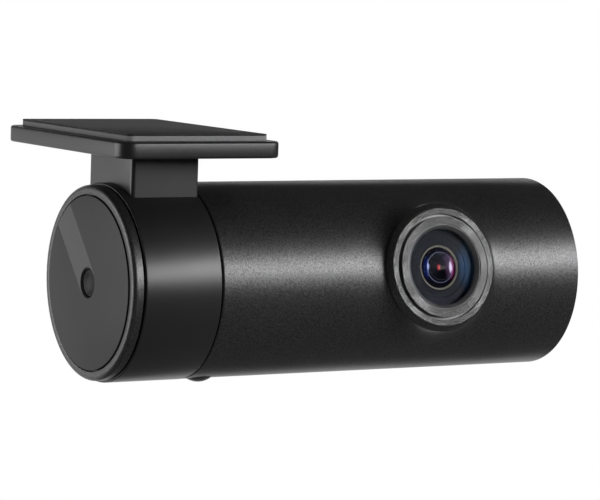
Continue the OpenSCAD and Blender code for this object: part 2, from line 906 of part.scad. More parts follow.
module middle_lens() {
    color([0.35, 0.3, 0.5, 0.4]) at_camera() intersection() {
        bar_lens(middle_h0, middle_h1 + 1, middle_r);
        translate([lens_x, middle_front_r - middle_h1, 0]) sphere(r = middle_front_r);
        translate([lens_x, -middle_back_r - middle_h0, 0]) sphere(r = middle_back_r);
    }
}

module rear_lens() {
    r = barrel_bore - element_fit;
    color([0.3, 0.35, 0.45, 0.4]) at_camera() intersection() {
        bar_lens(rear_h0, rear_h1, r);
        translate([lens_x, rear_front_r - rear_h1, 0]) sphere(r = rear_front_r);
        translate([lens_x, -rear_back_r - rear_h0, 0]) sphere(r = rear_back_r);
    }
}

module lens_seal() {
    color([0.05, 0.05, 0.05]) at_camera() turn_lens([
        [barrel_head_r, seal_h0], [boss_hole_r, seal_h0], [boss_hole_r, seal_h1],
        [barrel_head_r, seal_h1]]);
}

module lens_holder() {
    w = holder_w / 2;
    v = window_w / 2;
    u = sensor_cavity_w / 2;
    f = filter_w / 2;
    color([0.07, 0.07, 0.07]) at_camera() difference() {
        union() {
            block([lens_x - w, -holder_h2, -w], [lens_x + w, -holder_h0, w]);
            bar_lens(holder_h0, holder_h1, holder_tube_r);
        }
        bar_lens(barrel_low - screw_fit, holder_h1 + 1, barrel_r + thread_gap);
        block([lens_x - v, -barrel_low - 1, -v], [lens_x + v, -holder_h0 + 1, v]);
        block([lens_x - u, -filter_h0 + filter_ledge, -u], [lens_x + u, -holder_h0 + 1, u]);
        block([lens_x - f, -barrel_low - 1, -f], [lens_x + f, -filter_h0, f]);
    }
}

module ir_filter() {
    f = filter_w / 2 - filter_fit;
    color([0.5, 0.75, 0.8, 0.5]) at_camera()
        block([lens_x - f, -filter_h0 - filter_t, -f], [lens_x + f, -filter_h0, f]);
}

module image_sensor() {
    h0 = sboard_h0 + pcb_t;
    color([0.15, 0.12, 0.2]) at_camera()
        block([lens_x - sensor_l / 2, -h0 - sensor_t, -sensor_w / 2],
            [lens_x + sensor_l / 2, -h0, sensor_w / 2]);
}

module sensor_board() {
    w = sboard_w / 2;
    l = sboard_l / 2;
    color([0.05, 0.25, 0.12]) at_camera() difference() {
        block([lens_x - w, -sboard_h0 - pcb_t, -l], [lens_x + w, -sboard_h0, l]);
        for (s = [-1, 1]) translate([s * post_dx, 0, 0])
            bar_lens(-pcb_t, sboard_h0 + pcb_t + 1, small_shank_r + screw_fit);
    }
}

module sensor_screws() {
    color([0.6, 0.6, 0.62]) at_camera() for (s = [-1, 1])
        translate([lens_x + s * post_dx, -sboard_h0 + cap_screw_head_h, 0]) rotate([-90, 0, 0])
            screw(small_pilot_r, sensor_screw_len, cap_screw_head_r, cap_screw_head_h);
}

module sensor_flex() {
    w = flex_w / 2;
    y = -sboard_h0;
    y1 = y + sensor_flex_bend;
    z = sensor_flex_z0;
    color([0.75, 0.45, 0.1]) at_camera() {
        block([lens_x - w, y, z], [lens_x + w, y + flex_t, sensor_flex_z1]);
        block([lens_x - w, y, z], [lens_x + w, y1, z + flex_t]);
        block([lens_x - w, y1 - flex_t, board_z1], [lens_x + w, y1, z + flex_t]);
    }
}

// ---------- boards ----------

module at_board_holes() {
    for (x = board_hole_x) for (s = [-1, 1]) translate([x, s * board_hole_y, board_z1]) children();
}

module main_board() {
    color([0.05, 0.25, 0.12]) at_camera() difference() {
        block([board_x0, -board_y, board_z0], [board_x1, board_y, board_z1]);
        at_board_holes() translate([0, 0, -pcb_t - 1])
            cylinder(h = pcb_t + 2, r = small_shank_r + screw_fit);
    }
}

module board_screws() {
    color([0.6, 0.6, 0.62]) at_camera() at_board_holes()
        translate([0, 0, cap_screw_head_h])
            screw(small_pilot_r, board_screw_len, cap_screw_head_r, cap_screw_head_h);
}

module processor() {
    w = chip_w / 2;
    color([0.08, 0.08, 0.09]) at_camera()
        block([chip_x - w, -w, board_z1], [chip_x + w, w, board_z1 + chip_t]);
}

module thermal_pad() {
    w = chip_w / 2;
    z = board_z1 + chip_t;
    color([0.6, 0.7, 0.8]) at_camera() block([chip_x - w, -w, z], [chip_x + w, w, z + pad_film]);
}

module heat_sink() {
    w = heat_w / 2;
    z = board_z1 + chip_t + pad_film;
    step = (heat_w - fin_t) / (fin_n - 1);
    color([0.75, 0.75, 0.77]) at_camera() {
        block([chip_x - w + sink_notch, -w, z], [chip_x + w, w, z + heat_base]);
        for (i = [0 : fin_n - 1])
            block([chip_x - w + sink_notch, -w + i * step, z],
                [chip_x + w, -w + i * step + fin_t, z + heat_base + fin_h]);
    }
}

// a box standing on the main board
module on_board(part) {
    block([part[0], part[1], board_z1], [part[0] + part[2], part[1] + part[3], board_z1 + part[4]]);
}

module memory_chips() {
    color([0.1, 0.1, 0.1]) at_camera() for (chip = MEMORY_CHIPS) on_board(chip);
}

module power_parts() {
    color([0.3, 0.28, 0.26]) at_camera() for (part = POWER_PARTS) on_board(part);
}

module wifi_antenna() {
    color([0.85, 0.83, 0.75]) at_camera() on_board(ANTENNA);
}

module supercapacitors() {
    color([0.1, 0.14, 0.3]) at_camera() for (s = [-1, 1])
        translate([0, s * super_y, super_z]) bar_x(super_x0, super_x1, super_r);
}

module capacitor_leads() {
    color([0.75, 0.75, 0.75]) at_camera() for (s = [-1, 1]) for (d = [-1, 1]) {
        y = s * super_y + d * lead_pitch / 2;
        translate([0, y, super_z]) bar_x(super_x1, lead_x0, lead_r);
        translate([lead_x0, y, super_z]) sphere(r = lead_r);
        translate([lead_x0, y, lead_z]) cylinder(h = super_z - lead_z, r = lead_r);
        translate([lead_x0, y, lead_z]) sphere(r = lead_r);
        translate([0, y, lead_z]) bar_x(lead_x0, lead_x1, lead_r);
        translate([lead_x1, y, lead_z]) sphere(r = lead_r);
        translate([lead_x1, y, board_z1]) cylinder(h = lead_z - board_z1, r = lead_r);
    }
}

module microphone() {
    color([0.8, 0.75, 0.6]) at_camera() difference() {
        block([mic_x - mic_l / 2, -mic_w / 2, board_z0 - mic_t],
            [mic_x + mic_l / 2, mic_w / 2, board_z0]);
        translate([mic_x, 0, board_z0 - mic_t - 1]) cylinder(h = 1 + mic_port_d, r = mic_port_r);
    }
}

module mic_gasket() {
    color([0.05, 0.05, 0.05]) at_camera() translate([mic_x, 0, 0]) difference() {
        intersection() {
            translate([0, 0, -body_r]) cylinder(h = body_r + board_z0 - mic_t, r = mic_boot_r);
            bar_x(-mic_l, mic_l, shell_ri);
        }
        translate([0, 0, -body_r]) cylinder(h = body_r, r = mic_hole_r);
    }
}

module status_lens() {
    color([0.8, 0.85, 0.9, 0.5]) at_camera() translate([lamp_x, 0, 0]) {
        intersection() {
            translate([0, 0, -body_r - lamp_out]) cylinder(h = lamp_head, r = lamp_r);
            translate([0, 0, -body_r - lamp_out + lamp_dome]) sphere(r = lamp_dome);
        }
        translate([0, 0, -body_r]) cylinder(h = body_r + board_z0 - led_t - led_gap, r = lamp_stem_r);
    }
}

module status_led() {
    color([0.9, 0.9, 0.8]) at_camera()
        block([led_x0, -led_half, board_z0 - led_t], [led_x1, led_half, board_z0]);
}

// ---------- ports ----------

module card_socket() {
    w = socket_w / 2;
    z1 = board_z1 + socket_h;
    color([0.7, 0.7, 0.71]) at_camera() difference() {
        block([card_x - w, socket_y0, board_z1], [card_x + w, socket_y1, z1]);
        block([card_x - card_w / 2 - card_gap, card_y0 - socket_back, card_z0 - card_gap],
            [card_x + card_w / 2 + card_gap, socket_y1 + 1, card_z0 + card_t + card_gap]);
        block([card_x - socket_window_w / 2, card_y0 + 1, board_z1 + socket_floor],
            [card_x + socket_window_w / 2, socket_window_y1, z1 + 1]);
    }
}

module memory_card() {
    w = card_w / 2;
    z1 = card_z0 + card_t;
    g = card_grip_w / 2;
    y1 = card_y0 + card_l;
    color([0.06, 0.06, 0.07]) at_camera() difference() {
        block([card_x - w, card_y0, card_z0], [card_x + w, y1, z1]);
        block([card_x + w - card_step_w, card_y0 - 1, card_z0 - 1],
            [card_x + w + 1, card_y0 + card_step_y, z1 + 1]);
        block([card_x - g, y1 - card_grip_y0, z1 - card_grip_t], [card_x + g, y1 - card_grip_y1, z1 + 1]);
    }
}

module inlet_shell() {
    t = inlet_wall;
    color([0.75, 0.75, 0.76]) at_camera() difference() {
        port_slot(inlet_x, inlet_z, inlet_w, inlet_h, inlet_y0, inlet_y1);
        port_slot(inlet_x, inlet_z, inlet_w - 2 * t, inlet_h - 2 * t,
            inlet_y0 + inlet_back, inlet_y1 + 1);
    }
}

module inlet_tongue() {
    color([0.05, 0.05, 0.05]) at_camera() {
        block([inlet_x - tongue_w / 2, inlet_y0 + inlet_back, inlet_z - tongue_t / 2],
            [inlet_x + tongue_w / 2, inlet_y1 - tongue_short, inlet_z + tongue_t / 2]);
        port_slot(inlet_x, inlet_z, inlet_w - tongue_base_fit, inlet_h - tongue_base_fit,
            inlet_y0 + inlet_back, inlet_y0 + 2 * inlet_back);
    }
}

// ---------- selection ----------

adhesive_film();
foam_pad();
mount_plate();
plate_screws();
neck_collar();
end_cap();
end_cap_screws();
end_disc();
end_stripe();
power_button();
switch_plunger();
tact_switch();
button_board();
button_board_screws();
button_flex();
flex_connectors();
chassis();
friction_ring();
main_shell();
chassis_screws();
right_end_cap();
speaker();
speaker_cone();
speaker_gasket();
lens_bezel();
lens_surround();
lens_trim_ring();
front_lens();
lens_barrel();
lens_baffle();
middle_lens();
rear_lens();
lens_seal();
lens_holder();
ir_filter();
image_sensor();
sensor_board();
sensor_screws();
sensor_flex();
main_board();
board_screws();
processor();
thermal_pad();
heat_sink();
memory_chips();
power_parts();
wifi_antenna();
supercapacitors();
capacitor_leads();
microphone();
mic_gasket();
status_lens();
status_led();
card_socket();
memory_card();
inlet_shell();
inlet_tongue();
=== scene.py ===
"""Cylindrical dash camera on a glass mount: its visible pieces, finishes and studio."""
import json
import math

import bmesh
import bpy
from bpy.props import FloatProperty, FloatVectorProperty, PointerProperty
from mathutils import Matrix, Vector


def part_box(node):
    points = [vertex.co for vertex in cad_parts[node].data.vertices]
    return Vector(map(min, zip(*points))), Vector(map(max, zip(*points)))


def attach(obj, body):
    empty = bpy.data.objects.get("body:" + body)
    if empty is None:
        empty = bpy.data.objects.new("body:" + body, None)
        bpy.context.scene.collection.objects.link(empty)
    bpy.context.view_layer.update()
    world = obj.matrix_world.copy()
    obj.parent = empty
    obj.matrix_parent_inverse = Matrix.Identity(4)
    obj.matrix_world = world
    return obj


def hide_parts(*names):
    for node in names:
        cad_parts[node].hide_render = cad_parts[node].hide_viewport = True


bl_info = {
    "name": "Dash camera",
    "version": (1, 0, 0),
    "blender": (4, 5, 0),
    "location": "3D View > Sidebar > Dash camera",
    "description": "Models the pieces of a cylindrical dash camera over its CAD frame",
    "category": "Add Mesh",
}

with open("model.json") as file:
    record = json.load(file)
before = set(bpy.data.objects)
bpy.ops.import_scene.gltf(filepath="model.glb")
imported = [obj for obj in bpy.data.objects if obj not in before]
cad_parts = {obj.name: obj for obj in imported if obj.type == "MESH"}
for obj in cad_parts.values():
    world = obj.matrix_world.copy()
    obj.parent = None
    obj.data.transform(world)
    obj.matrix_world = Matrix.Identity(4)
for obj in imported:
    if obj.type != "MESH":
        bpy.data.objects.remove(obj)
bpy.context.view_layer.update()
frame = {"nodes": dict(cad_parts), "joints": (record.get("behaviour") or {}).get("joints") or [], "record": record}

MM = 0.001
QUARTER = math.pi / 2
JOINTS = {j["name"]: j for j in frame["joints"]}
AXIS = Vector(JOINTS["camera_tilt"]["pos_m"])
CARD_OUT = Vector(JOINTS["card_slide"]["axis"])
PITCH = math.atan2(-CARD_OUT.z, CARD_OUT.y)
END_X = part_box("end_disc")[0].x
# level: the camera drawn with its lens straight ahead, measured from the button end and the cylinder's axis
LEVEL = Matrix.Translation(Vector((END_X, AXIS.y, AXIS.z)))
PITCHED = LEVEL @ Matrix.Rotation(-PITCH, 4, "X")
ALONG_X = Matrix.Rotation(QUARTER, 4, "Y")
TO_FRONT = Matrix.Rotation(QUARTER, 4, "X")


# ---------------------------------------------------------------- sizes and colours


def length(name, description, default):
    return FloatProperty(name=name, description=description, default=default, unit="LENGTH", precision=5)


def colour(name, description, default):
    return FloatVectorProperty(name=name, description=description, default=default, subtype="COLOR", size=4,
                               min=0, max=1)


class BodySizes(bpy.types.PropertyGroup):
    radius: length("Cylinder radius", "Outside radius of the main shell", 17.0 * MM)
    bore: length("Shell bore", "Inside radius of the main shell", 15.5 * MM)
    shell_start: length("Shell start", "Where the main shell begins, from the button end", 16.96 * MM)
    shell_end: length("Shell end", "Where the main shell ends, from the button end", 90.4 * MM)
    shell_round: length("Shell edge", "Rounding of the shell's two end edges", 0.35 * MM)
    collar_start: length("Collar start", "Where the clamp collar begins", 2.28 * MM)
    collar_end: length("Collar end", "Where the clamp collar ends", 16.76 * MM)
    collar_radius: length("Collar radius", "Outside radius of the clamp collar", 17.04 * MM)
    collar_bore: length("Collar bore", "Inside radius of the clamp collar", 15.0 * MM)
    cap_radius: length("End cap radius", "Outside radius of the end cap", 16.69 * MM)
    cap_round: length("End cap edge", "Rounding of the end cap's outer edge", 0.8 * MM)
    disc_radius: length("Disc radius", "Radius of the end disc", 14.89 * MM)
    stripe: length("Stripe half width", "Half the width of the inlaid stripe", 3.0 * MM)


class MountSizes(bpy.types.PropertyGroup):
    plate_corner: length("Plate corner", "Corner radius of the mount plate", 3.0 * MM)
    plate_edge: length("Plate edge", "Rounding of the plate's long edges", 0.4 * MM)
    pad_corner: length("Pad corner", "Corner radius of the foam and film", 1.2 * MM)
    neck_edge: length("Neck edge", "Rounding of the neck's upright edges", 0.75 * MM)


class LensSizes(bpy.types.PropertyGroup):
    along: length("Lens place", "Distance of the lens axis from the button end", 60.2 * MM)
    boss_radius: length("Boss radius", "Outside radius of the raised boss", 11.3 * MM)
    boss_front: length("Boss front", "Distance of the boss front from the cylinder's axis", 18.6 * MM)
    boss_slope: length("Boss edge", "Width of the slope round the boss's front", 0.9 * MM)
    blend: length("Boss blend", "How far the blend reaches out where the boss meets the cylinder", 3.8 * MM)
    seat_radius: length("Seat radius", "Radius of the seat for the bezel", 10.35 * MM)
    seat_floor: length("Seat floor", "Distance of the seat's floor from the cylinder's axis", 17.1 * MM)


class Finishes(bpy.types.PropertyGroup):
    paint: colour("Body paint", "Dark metallic grey of the body", (0.056, 0.056, 0.057, 1))
    mount: colour("Mount grey", "Grey of the plate and neck", (0.0105, 0.0105, 0.0107, 1))
    disc: colour("Disc grey", "Grey of the end disc", (0.021, 0.021, 0.0214, 1))
    stripe: colour("Stripe grey", "Lighter grey of the stripe", (0.095, 0.095, 0.096, 1))
    bezel: colour("Bezel metal", "Turned metal of the lens rings", (0.23, 0.23, 0.233, 1))
    black: colour("Black plastic", "Matt black of the lens surround and button", (0.012, 0.012, 0.013, 1))
    foam: colour("Foam grey", "Grey of the foam pad", (0.21, 0.21, 0.215, 1))
    film: colour("Film black", "Black of the adhesive film", (0.012, 0.012, 0.013, 1))


def sizes(name):
    return getattr(bpy.context.scene, "dashcam_" + name)


# ---------------------------------------------------------------- modelling helpers


def fresh():
    """Object mode with nothing selected, so that an operator acts only on what comes next."""
    if bpy.context.object and bpy.context.object.mode != "OBJECT":
        bpy.ops.object.mode_set(mode="OBJECT")
    bpy.ops.object.select_all(action="DESELECT")


def only(obj):
    """Object mode with one object active and selected."""
    fresh()
    bpy.context.view_layer.objects.active = obj
    obj.select_set(True)


def edit_only(obj):
    only(obj)
    bpy.ops.object.mode_set(mode="EDIT")


def named(name):
    obj = bpy.context.object
    obj.name = name
    obj.data.name = name
    return obj


def pick(obj, test, kind="EDGE"):
    """Selects only the edges whose two ends pass the test, or the faces whose middle does."""
    bpy.ops.mesh.select_mode(type=kind)
    bpy.ops.mesh.select_all(action="DESELECT")
    mesh = bmesh.from_edit_mesh(obj.data)
    if kind == "EDGE":
        for e in mesh.edges:
            e.select_set(test(e.verts[0].co, e.verts[1].co))
    else:
        for f in mesh.faces:
            f.select_set(test(f.calc_center_median()))
    mesh.select_flush_mode()
    bmesh.update_edit_mesh(obj.data)


def rings(stations):
    """Pulls the selected ring of edges through [radius, height] stations about Z."""
    radius, height = stations[0]
    for new_radius, new_height in stations[1:]:
        bpy.ops.mesh.extrude_region_move(TRANSFORM_OT_translate={"value": (0, 0, new_height - height)})
        grow = new_radius / radius
        bpy.ops.transform.resize(value=(grow, grow, 1), center_override=(0, 0, new_height))
        radius, height = new_radius, new_height


def turned(name, stations, sides=144, loop=False):
    """A turned piece about Z: a closed loop of stations for a ring, or a solid closed at both ends."""
    fresh()
    radius, height = stations[0]
    fill = "NOTHING" if loop else "NGON"
    bpy.ops.mesh.primitive_circle_add(vertices=sides, radius=radius, fill_type=fill, location=(0, 0, height))
    obj = named(name)
    bpy.ops.object.transform_apply(location=True, rotation=True, scale=True)
    bpy.ops.object.mode_set(mode="EDIT")
    bpy.ops.mesh.select_mode(type="EDGE" if loop else "FACE")
    bpy.ops.mesh.select_all(action="SELECT")
    rings(stations + [stations[0]] if loop else stations)
    bpy.ops.mesh.select_all(action="SELECT")
    bpy.ops.mesh.remove_doubles(threshold=1e-6)
    tidy_normals()
    return obj


def tidy_normals():
    bpy.ops.mesh.select_all(action="SELECT")
    bpy.ops.mesh.normals_make_consistent(inside=False)
    bpy.ops.object.mode_set(mode="OBJECT")


def mm(*stations):
    """Stations given in millimetres, in metres."""
    return [(r * MM, h * MM) for r, h in stations]


def place(obj, matrix):
    """Moves a piece to its place and leaves its object at the origin."""
    only(obj)
    obj.matrix_world = matrix
    bpy.ops.object.transform_apply(location=True, rotation=True, scale=True)


def smooth(obj, degrees):
    only(obj)
    bpy.ops.object.shade_smooth_by_angle(angle=math.radians(degrees))


def cut(obj, tool, operation="DIFFERENCE"):
    """Cuts one shape out of another, or joins them, and removes the tool."""
    only(obj)
    change = obj.modifiers.new("shape", "BOOLEAN")
    change.operation = operation
    change.solver = "EXACT"
    change.object = tool
    bpy.ops.object.modifier_apply(modifier=change.name)
    bpy.data.objects.remove(tool)


def box_piece(name, low, high):
    """A box between two corners."""
    fresh()
    middle = (Vector(low) + Vector(high)) / 2
    bpy.ops.mesh.primitive_cube_add(size=1, location=middle, scale=Vector(high) - Vector(low))
    obj = named(name)
    bpy.ops.object.transform_apply(location=True, rotation=True, scale=True)
    return obj


def rod(name, radius, low, high, sides=64):
    """A plain bar along Z, used to cut holes."""
    fresh()
    middle = (0, 0, (low + high) / 2)
    bpy.ops.mesh.primitive_cylinder_add(vertices=sides, radius=radius, depth=high - low, location=middle)
    obj = named(name)
    bpy.ops.object.transform_apply(location=True, rotation=True, scale=True)
    return obj


def drill(obj, radius, low, high, where, sides=64):
    """Cuts a round hole drawn along Z between two heights and moved to its place by a matrix."""
    tool = rod("drill", radius, low, high, sides)
    place(tool, where)
    cut(obj, tool)


def bevel_edges(obj, test, width, segments):
    """Rounds the edges whose two ends pass the test."""
    edit_only(obj)
    pick(obj, test)
    bpy.ops.mesh.bevel(offset=width, offset_type="OFFSET", segments=segments, profile=0.5, affect="EDGES")
    tidy_normals()


def edges_along(axis):
    """A test for the edges that run along an axis: 1 for Y, 2 for Z."""
    return lambda a, b: abs(a[axis] - b[axis]) > 1e-5


def edges_at(*heights):
    """A test for the edges that lie level at one of the heights."""
    return lambda a, b: any(max(abs(a.z - h), abs(b.z - h)) < 1e-6 for h in heights)


def arc(cx, cy, radius, start, end, steps):
    """Points of an arc, as [radius, height] stations; angles in degrees from +radius toward +height."""
    out = []
    for i in range(steps + 1):
        a = math.radians(start + (end - start) * i / steps)
        out.append((cx + radius * math.cos(a), cy + radius * math.sin(a)))
    return out


def on_ball(front, radius, r):
    """Height of a ball's surface at a distance r from its axis; front is the height of its foremost point."""
    return front - radius + math.sqrt(radius * radius - r * r)


def finish_piece(obj, body, material, node, angle=32):
    """Smooths a piece, gives it its finish, hangs it under its body's empty and hides the CAD node that it
    replaces.
    """
    smooth(obj, angle)
    obj.data.materials.clear()
    obj.data.materials.append(material)
    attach(obj, body)
    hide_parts(node)


# ---------------------------------------------------------------- shared effects


def new_group(name, tint, numbers):
    """A shared effect: a place, a colour and named numbers in; colour, roughness and height out."""
    group = bpy.data.node_groups.new(name, "ShaderNodeTree")
    sockets = [("Vector", "Vector", None), ("Colour", "Color", tint)]
    sockets += [(label, "Float", value) for label, value in numbers.items()]
    for label, kind, value in sockets:
        socket = group.interface.new_socket(label, in_out="INPUT", socket_type="NodeSocket" + kind)
        if value is not None:
            socket.default_value = value
    for label, kind in (("Colour", "Color"), ("Roughness", "Float"), ("Height", "Float")):
        group.interface.new_socket(label, in_out="OUTPUT", socket_type="NodeSocket" + kind)
    return group, group.nodes.new("NodeGroupInput"), group.nodes.new("NodeGroupOutput")


def math_node(tree, operation, a, b=None):
    node = tree.nodes.new("ShaderNodeMath")
    node.operation = operation
    for i, value in enumerate((a, b)):
        if value is None:
            continue
        if isinstance(value, (int, float)):
            node.inputs[i].default_value = value
        else:
            tree.links.new(value, node.inputs[i])
    return node.outputs[0]


def mix_colour(tree, factor, a, b, blend="MIX"):
    node = tree.nodes.new("ShaderNodeMix")
    node.data_type = "RGBA"
    node.blend_type = blend
    for socket, value in ((node.inputs[0], factor), (node.inputs[6], a), (node.inputs[7], b)):
        if hasattr(value, "default_value") or hasattr(value, "links"):
            tree.links.new(value, socket)
        else:
            socket.default_value = value
    return node.outputs[2]


def add(tree, a, b):
    return math_node(tree, "ADD", a, b)


def minus(tree, a, b):
    return math_node(tree, "SUBTRACT", a, b)


def times(tree, a, b):
    return math_node(tree, "MULTIPLY", a, b)


def distance(tree, x, y):
    return math_node(tree, "SQRT", add(tree, times(tree, x, x), times(tree, y, y)))


def shaded(tree, tint, shade):
    """A colour made lighter or darker by a number."""
    grey = tree.nodes.new("ShaderNodeCombineColor")
    for i in range(3):
        tree.links.new(shade, grey.inputs[i])
    return mix_colour(tree, 1.0, tint, grey.outputs[0], "MULTIPLY")


def noise(tree, vector, scale, detail=3.0, rough=0.55):
    node = tree.nodes.new("ShaderNodeTexNoise")
    tree.links.new(vector, node.inputs["Vector"])
    if isinstance(scale, (int, float)):
        node.inputs["Scale"].default_value = scale
    else:
        tree.links.new(scale, node.inputs["Scale"])
    node.inputs["Detail"].default_value = detail
    node.inputs["Roughness"].default_value = rough
    return node.outputs["Fac"]


def paint_grain():
    """Fine metallic fleck and a faint broad unevenness, as in sprayed satin paint."""
    if "paint grain" in bpy.data.node_groups:
        return bpy.data.node_groups["paint grain"]
    group, given, made = new_group("paint grain", (0.03, 0.03, 0.03, 1),
                                   {"Fleck size": 5200.0, "Fleck": 0.35, "Roughness": 0.36, "Spread": 0.08})
    vector = given.outputs["Vector"]
    patch_size, patch_share, fleck_gain, darkest = 90.0, 0.16, 4.0, 0.05
    fine = noise(group, vector, given.outputs["Fleck size"], 2.0, 0.7)
    spread = minus(group, fine, 0.5)
    broad = minus(group, noise(group, vector, patch_size, 3.0, 0.5), 0.5)
    bright = add(group, times(group, times(group, spread, given.outputs["Fleck"]), fleck_gain), 1.0)
    even = add(group, times(group, broad, patch_share), 1.0)
    shade = math_node(group, "MAXIMUM", times(group, bright, even), darkest)
    group.links.new(shaded(group, given.outputs["Colour"], shade), made.inputs["Colour"])
    gloss = times(group, add(group, spread, broad), given.outputs["Spread"])
    group.links.new(add(group, given.outputs["Roughness"], gloss), made.inputs["Roughness"])
    group.links.new(fine, made.inputs["Height"])
    return group


def turning_marks():
    """Fine rings left by turning or brushing round an axis, for a vector centred on that axis along Z."""
    if "turning marks" in bpy.data.node_groups:
        return bpy.data.node_groups["turning marks"]
    group, given, made = new_group("turning marks", (0.4, 0.4, 0.4, 1),
                                   {"Lines": 9000.0, "Contrast": 0.3, "Roughness": 0.3, "Spread": 0.12})
    parts = group.nodes.new("ShaderNodeSeparateXYZ")
    group.links.new(given.outputs["Vector"], parts.inputs[0])
    x, y = parts.outputs[0], parts.outputs[1]
    angle = math_node(group, "ARCTAN2", y, x)
    length_along, contrast_gain = 6.0, 3.0
    line = group.nodes.new("ShaderNodeCombineXYZ")
    group.links.new(times(group, distance(group, x, y), given.outputs["Lines"]), line.inputs[0])
    for i, wave in ((1, "SINE"), (2, "COSINE")):
        group.links.new(times(group, math_node(group, wave, angle), length_along), line.inputs[i])
    lines = noise(group, line.outputs[0], 1.0, 4.0, 0.7)
    centred = minus(group, lines, 0.5)
    shade = add(group, times(group, times(group, centred, given.outputs["Contrast"]), contrast_gain), 1.0)
    group.links.new(shaded(group, given.outputs["Colour"], shade), made.inputs["Colour"])
    gloss = times(group, centred, given.outputs["Spread"])
    group.links.new(add(group, given.outputs["Roughness"], gloss), made.inputs["Roughness"])
    group.links.new(lines, made.inputs["Height"])
    return group


# ---------------------------------------------------------------- materials


def start_material(name):
    """A material with a Principled shader and a Mapping node on Object coordinates."""
    material = bpy.data.materials.new(name)
    material.use_nodes = True
    tree = material.node_tree
    shader = tree.nodes["Principled BSDF"]
    where = tree.nodes.new("ShaderNodeTexCoord")
    mapping = tree.nodes.new("ShaderNodeMapping")
    tree.links.new(where.outputs["Object"], mapping.inputs["Vector"])
    return material, tree, shader, mapping


def add_bump(tree, shader, height, strength, distance):
    bump = tree.nodes.new("ShaderNodeBump")
    bump.inputs["Strength"].default_value = strength
    bump.inputs["Distance"].default_value = distance
    tree.links.new(height, bump.inputs["Height"])
    tree.links.new(bump.outputs["Normal"], shader.inputs["Normal"])


def wear(tree, shader, group):
    """Gives a shader the colour and gloss that come out of a shared group."""
    tree.links.new(group.outputs["Colour"], shader.inputs["Base Color"])
    tree.links.new(group.outputs["Roughness"], shader.inputs["Roughness"])


def use_group(tree, group, vector, values):
    node = tree.nodes.new("ShaderNodeGroup")
    node.node_tree = group
    tree.links.new(vector, node.inputs["Vector"])
    for label, value in values.items():
        node.inputs[label].default_value = value
    return node


def grained(name, tint, rough, fleck_size, fleck, spread=0.08, bump=0.05, metallic=0.0, specular=0.5,
            coat=0.0):
    """Satin paint, moulded plastic, rubber or film: colour and gloss broken by a fine grain."""
    material, tree, shader, mapping = start_material(name)
    group = use_group(tree, paint_grain(), mapping.outputs[0],
                      {"Colour": tint, "Fleck size": fleck_size, "Fleck": fleck, "Roughness": rough,
                       "Spread": spread})
    wear(tree, shader, group)
    shader.inputs["Metallic"].default_value = metallic
    shader.inputs["Specular IOR Level"].default_value = specular
    shader.inputs["Coat Weight"].default_value = coat
    shader.inputs["Coat Roughness"].default_value = 0.25
    add_bump(tree, shader, group.outputs["Height"], bump, 0.00002)
    return material


def aim_at_lens(mapping):
    """Puts a pattern's Z along the lens axis, with the axis through its middle."""
    middle = PITCHED @ Vector((sizes("lens").along, 0, 0))
    back = (Matrix.Rotation(-PITCH, 3, "X") @ Matrix.Rotation(QUARTER, 3, "X")).inverted()
    mapping.inputs["Rotation"].default_value = back.to_euler("XYZ")
    mapping.inputs["Location"].default_value = -(back @ middle)


def bezel_metal(name):
    """Metal brushed round the lens axis."""
    material, tree, shader, mapping = start_material(name)
    aim_at_lens(mapping)
    group = use_group(tree, turning_marks(), mapping.outputs[0],
                      {"Colour": tuple(sizes("finish").bezel), "Lines": 9000.0, "Contrast": 0.22,
                       "Roughness": 0.24, "Spread": 0.15})
    wear(tree, shader, group)
    shader.inputs["Metallic"].default_value = 1.0
    add_bump(tree, shader, group.outputs["Height"], 1.0, 0.00026)
    return material


def front_glass(name):
    """Polished coated glass with a trace of unevenness in its gloss."""
    material, tree, shader, mapping = start_material(name)
    shader.inputs["Base Color"].default_value = (0.80, 0.84, 0.95, 1)
    shader.inputs["Metallic"].default_value = 0.0
    shader.inputs["Transmission Weight"].default_value = 1.0
    shader.inputs["IOR"].default_value = 1.06
    cloud = noise(tree, mapping.outputs[0], 300.0, 2.0)
    tree.links.new(times(tree, cloud, 0.02), shader.inputs["Roughness"])
    return material


def circuit_board(name):
    """Green solder mask over copper tracks."""
    material, tree, shader, mapping = start_material(name)
    tracks = tree.nodes.new("ShaderNodeTexBrick")
    tree.links.new(mapping.outputs[0], tracks.inputs["Vector"])
    tracks.inputs["Scale"].default_value = 420.0
    tracks.inputs["Mortar Size"].default_value = 0.03
    tracks.inputs["Color1"].default_value = (0.010, 0.085, 0.035, 1)
    tracks.inputs["Color2"].default_value = (0.013, 0.100, 0.042, 1)
    tracks.inputs["Mortar"].default_value = (0.030, 0.190, 0.075, 1)
    group = use_group(tree, paint_grain(), mapping.outputs[0],
                      {"Fleck size": 3000.0, "Fleck": 0.1, "Roughness": 0.32})
    tree.links.new(tracks.outputs["Color"], group.inputs["Colour"])
    wear(tree, shader, group)
    add_bump(tree, shader, tracks.outputs["Fac"], 0.3, 0.00003)
    return material


def zone(tree, value, start, end):
    """A soft step from 0 at start to 1 at end."""
    node = tree.nodes.new("ShaderNodeMapRange")
    node.interpolation_type = "SMOOTHSTEP"
    tree.links.new(value, node.inputs["Value"])
    node.inputs["From Min"].default_value = start
    node.inputs["From Max"].default_value = end
    return node.outputs[0]


def band(tree, value, middle, half, soft):
    """1 inside a band round the middle value, falling softly to 0 outside it."""
    away = math_node(tree, "ABSOLUTE", minus(tree, value, middle))
    return zone(tree, away, half + soft, half)


def spot(tree, x, y, at, half, soft=0.35):
    """A soft oval at a place on the lens."""
    dx, dy = (math_node(tree, "DIVIDE", minus(tree, value, place_at * MM), size * MM)
              for value, place_at, size in zip((x, y), at, half))
    return zone(tree, distance(tree, dx, dy), 1.0 + soft, 1.0 - soft)


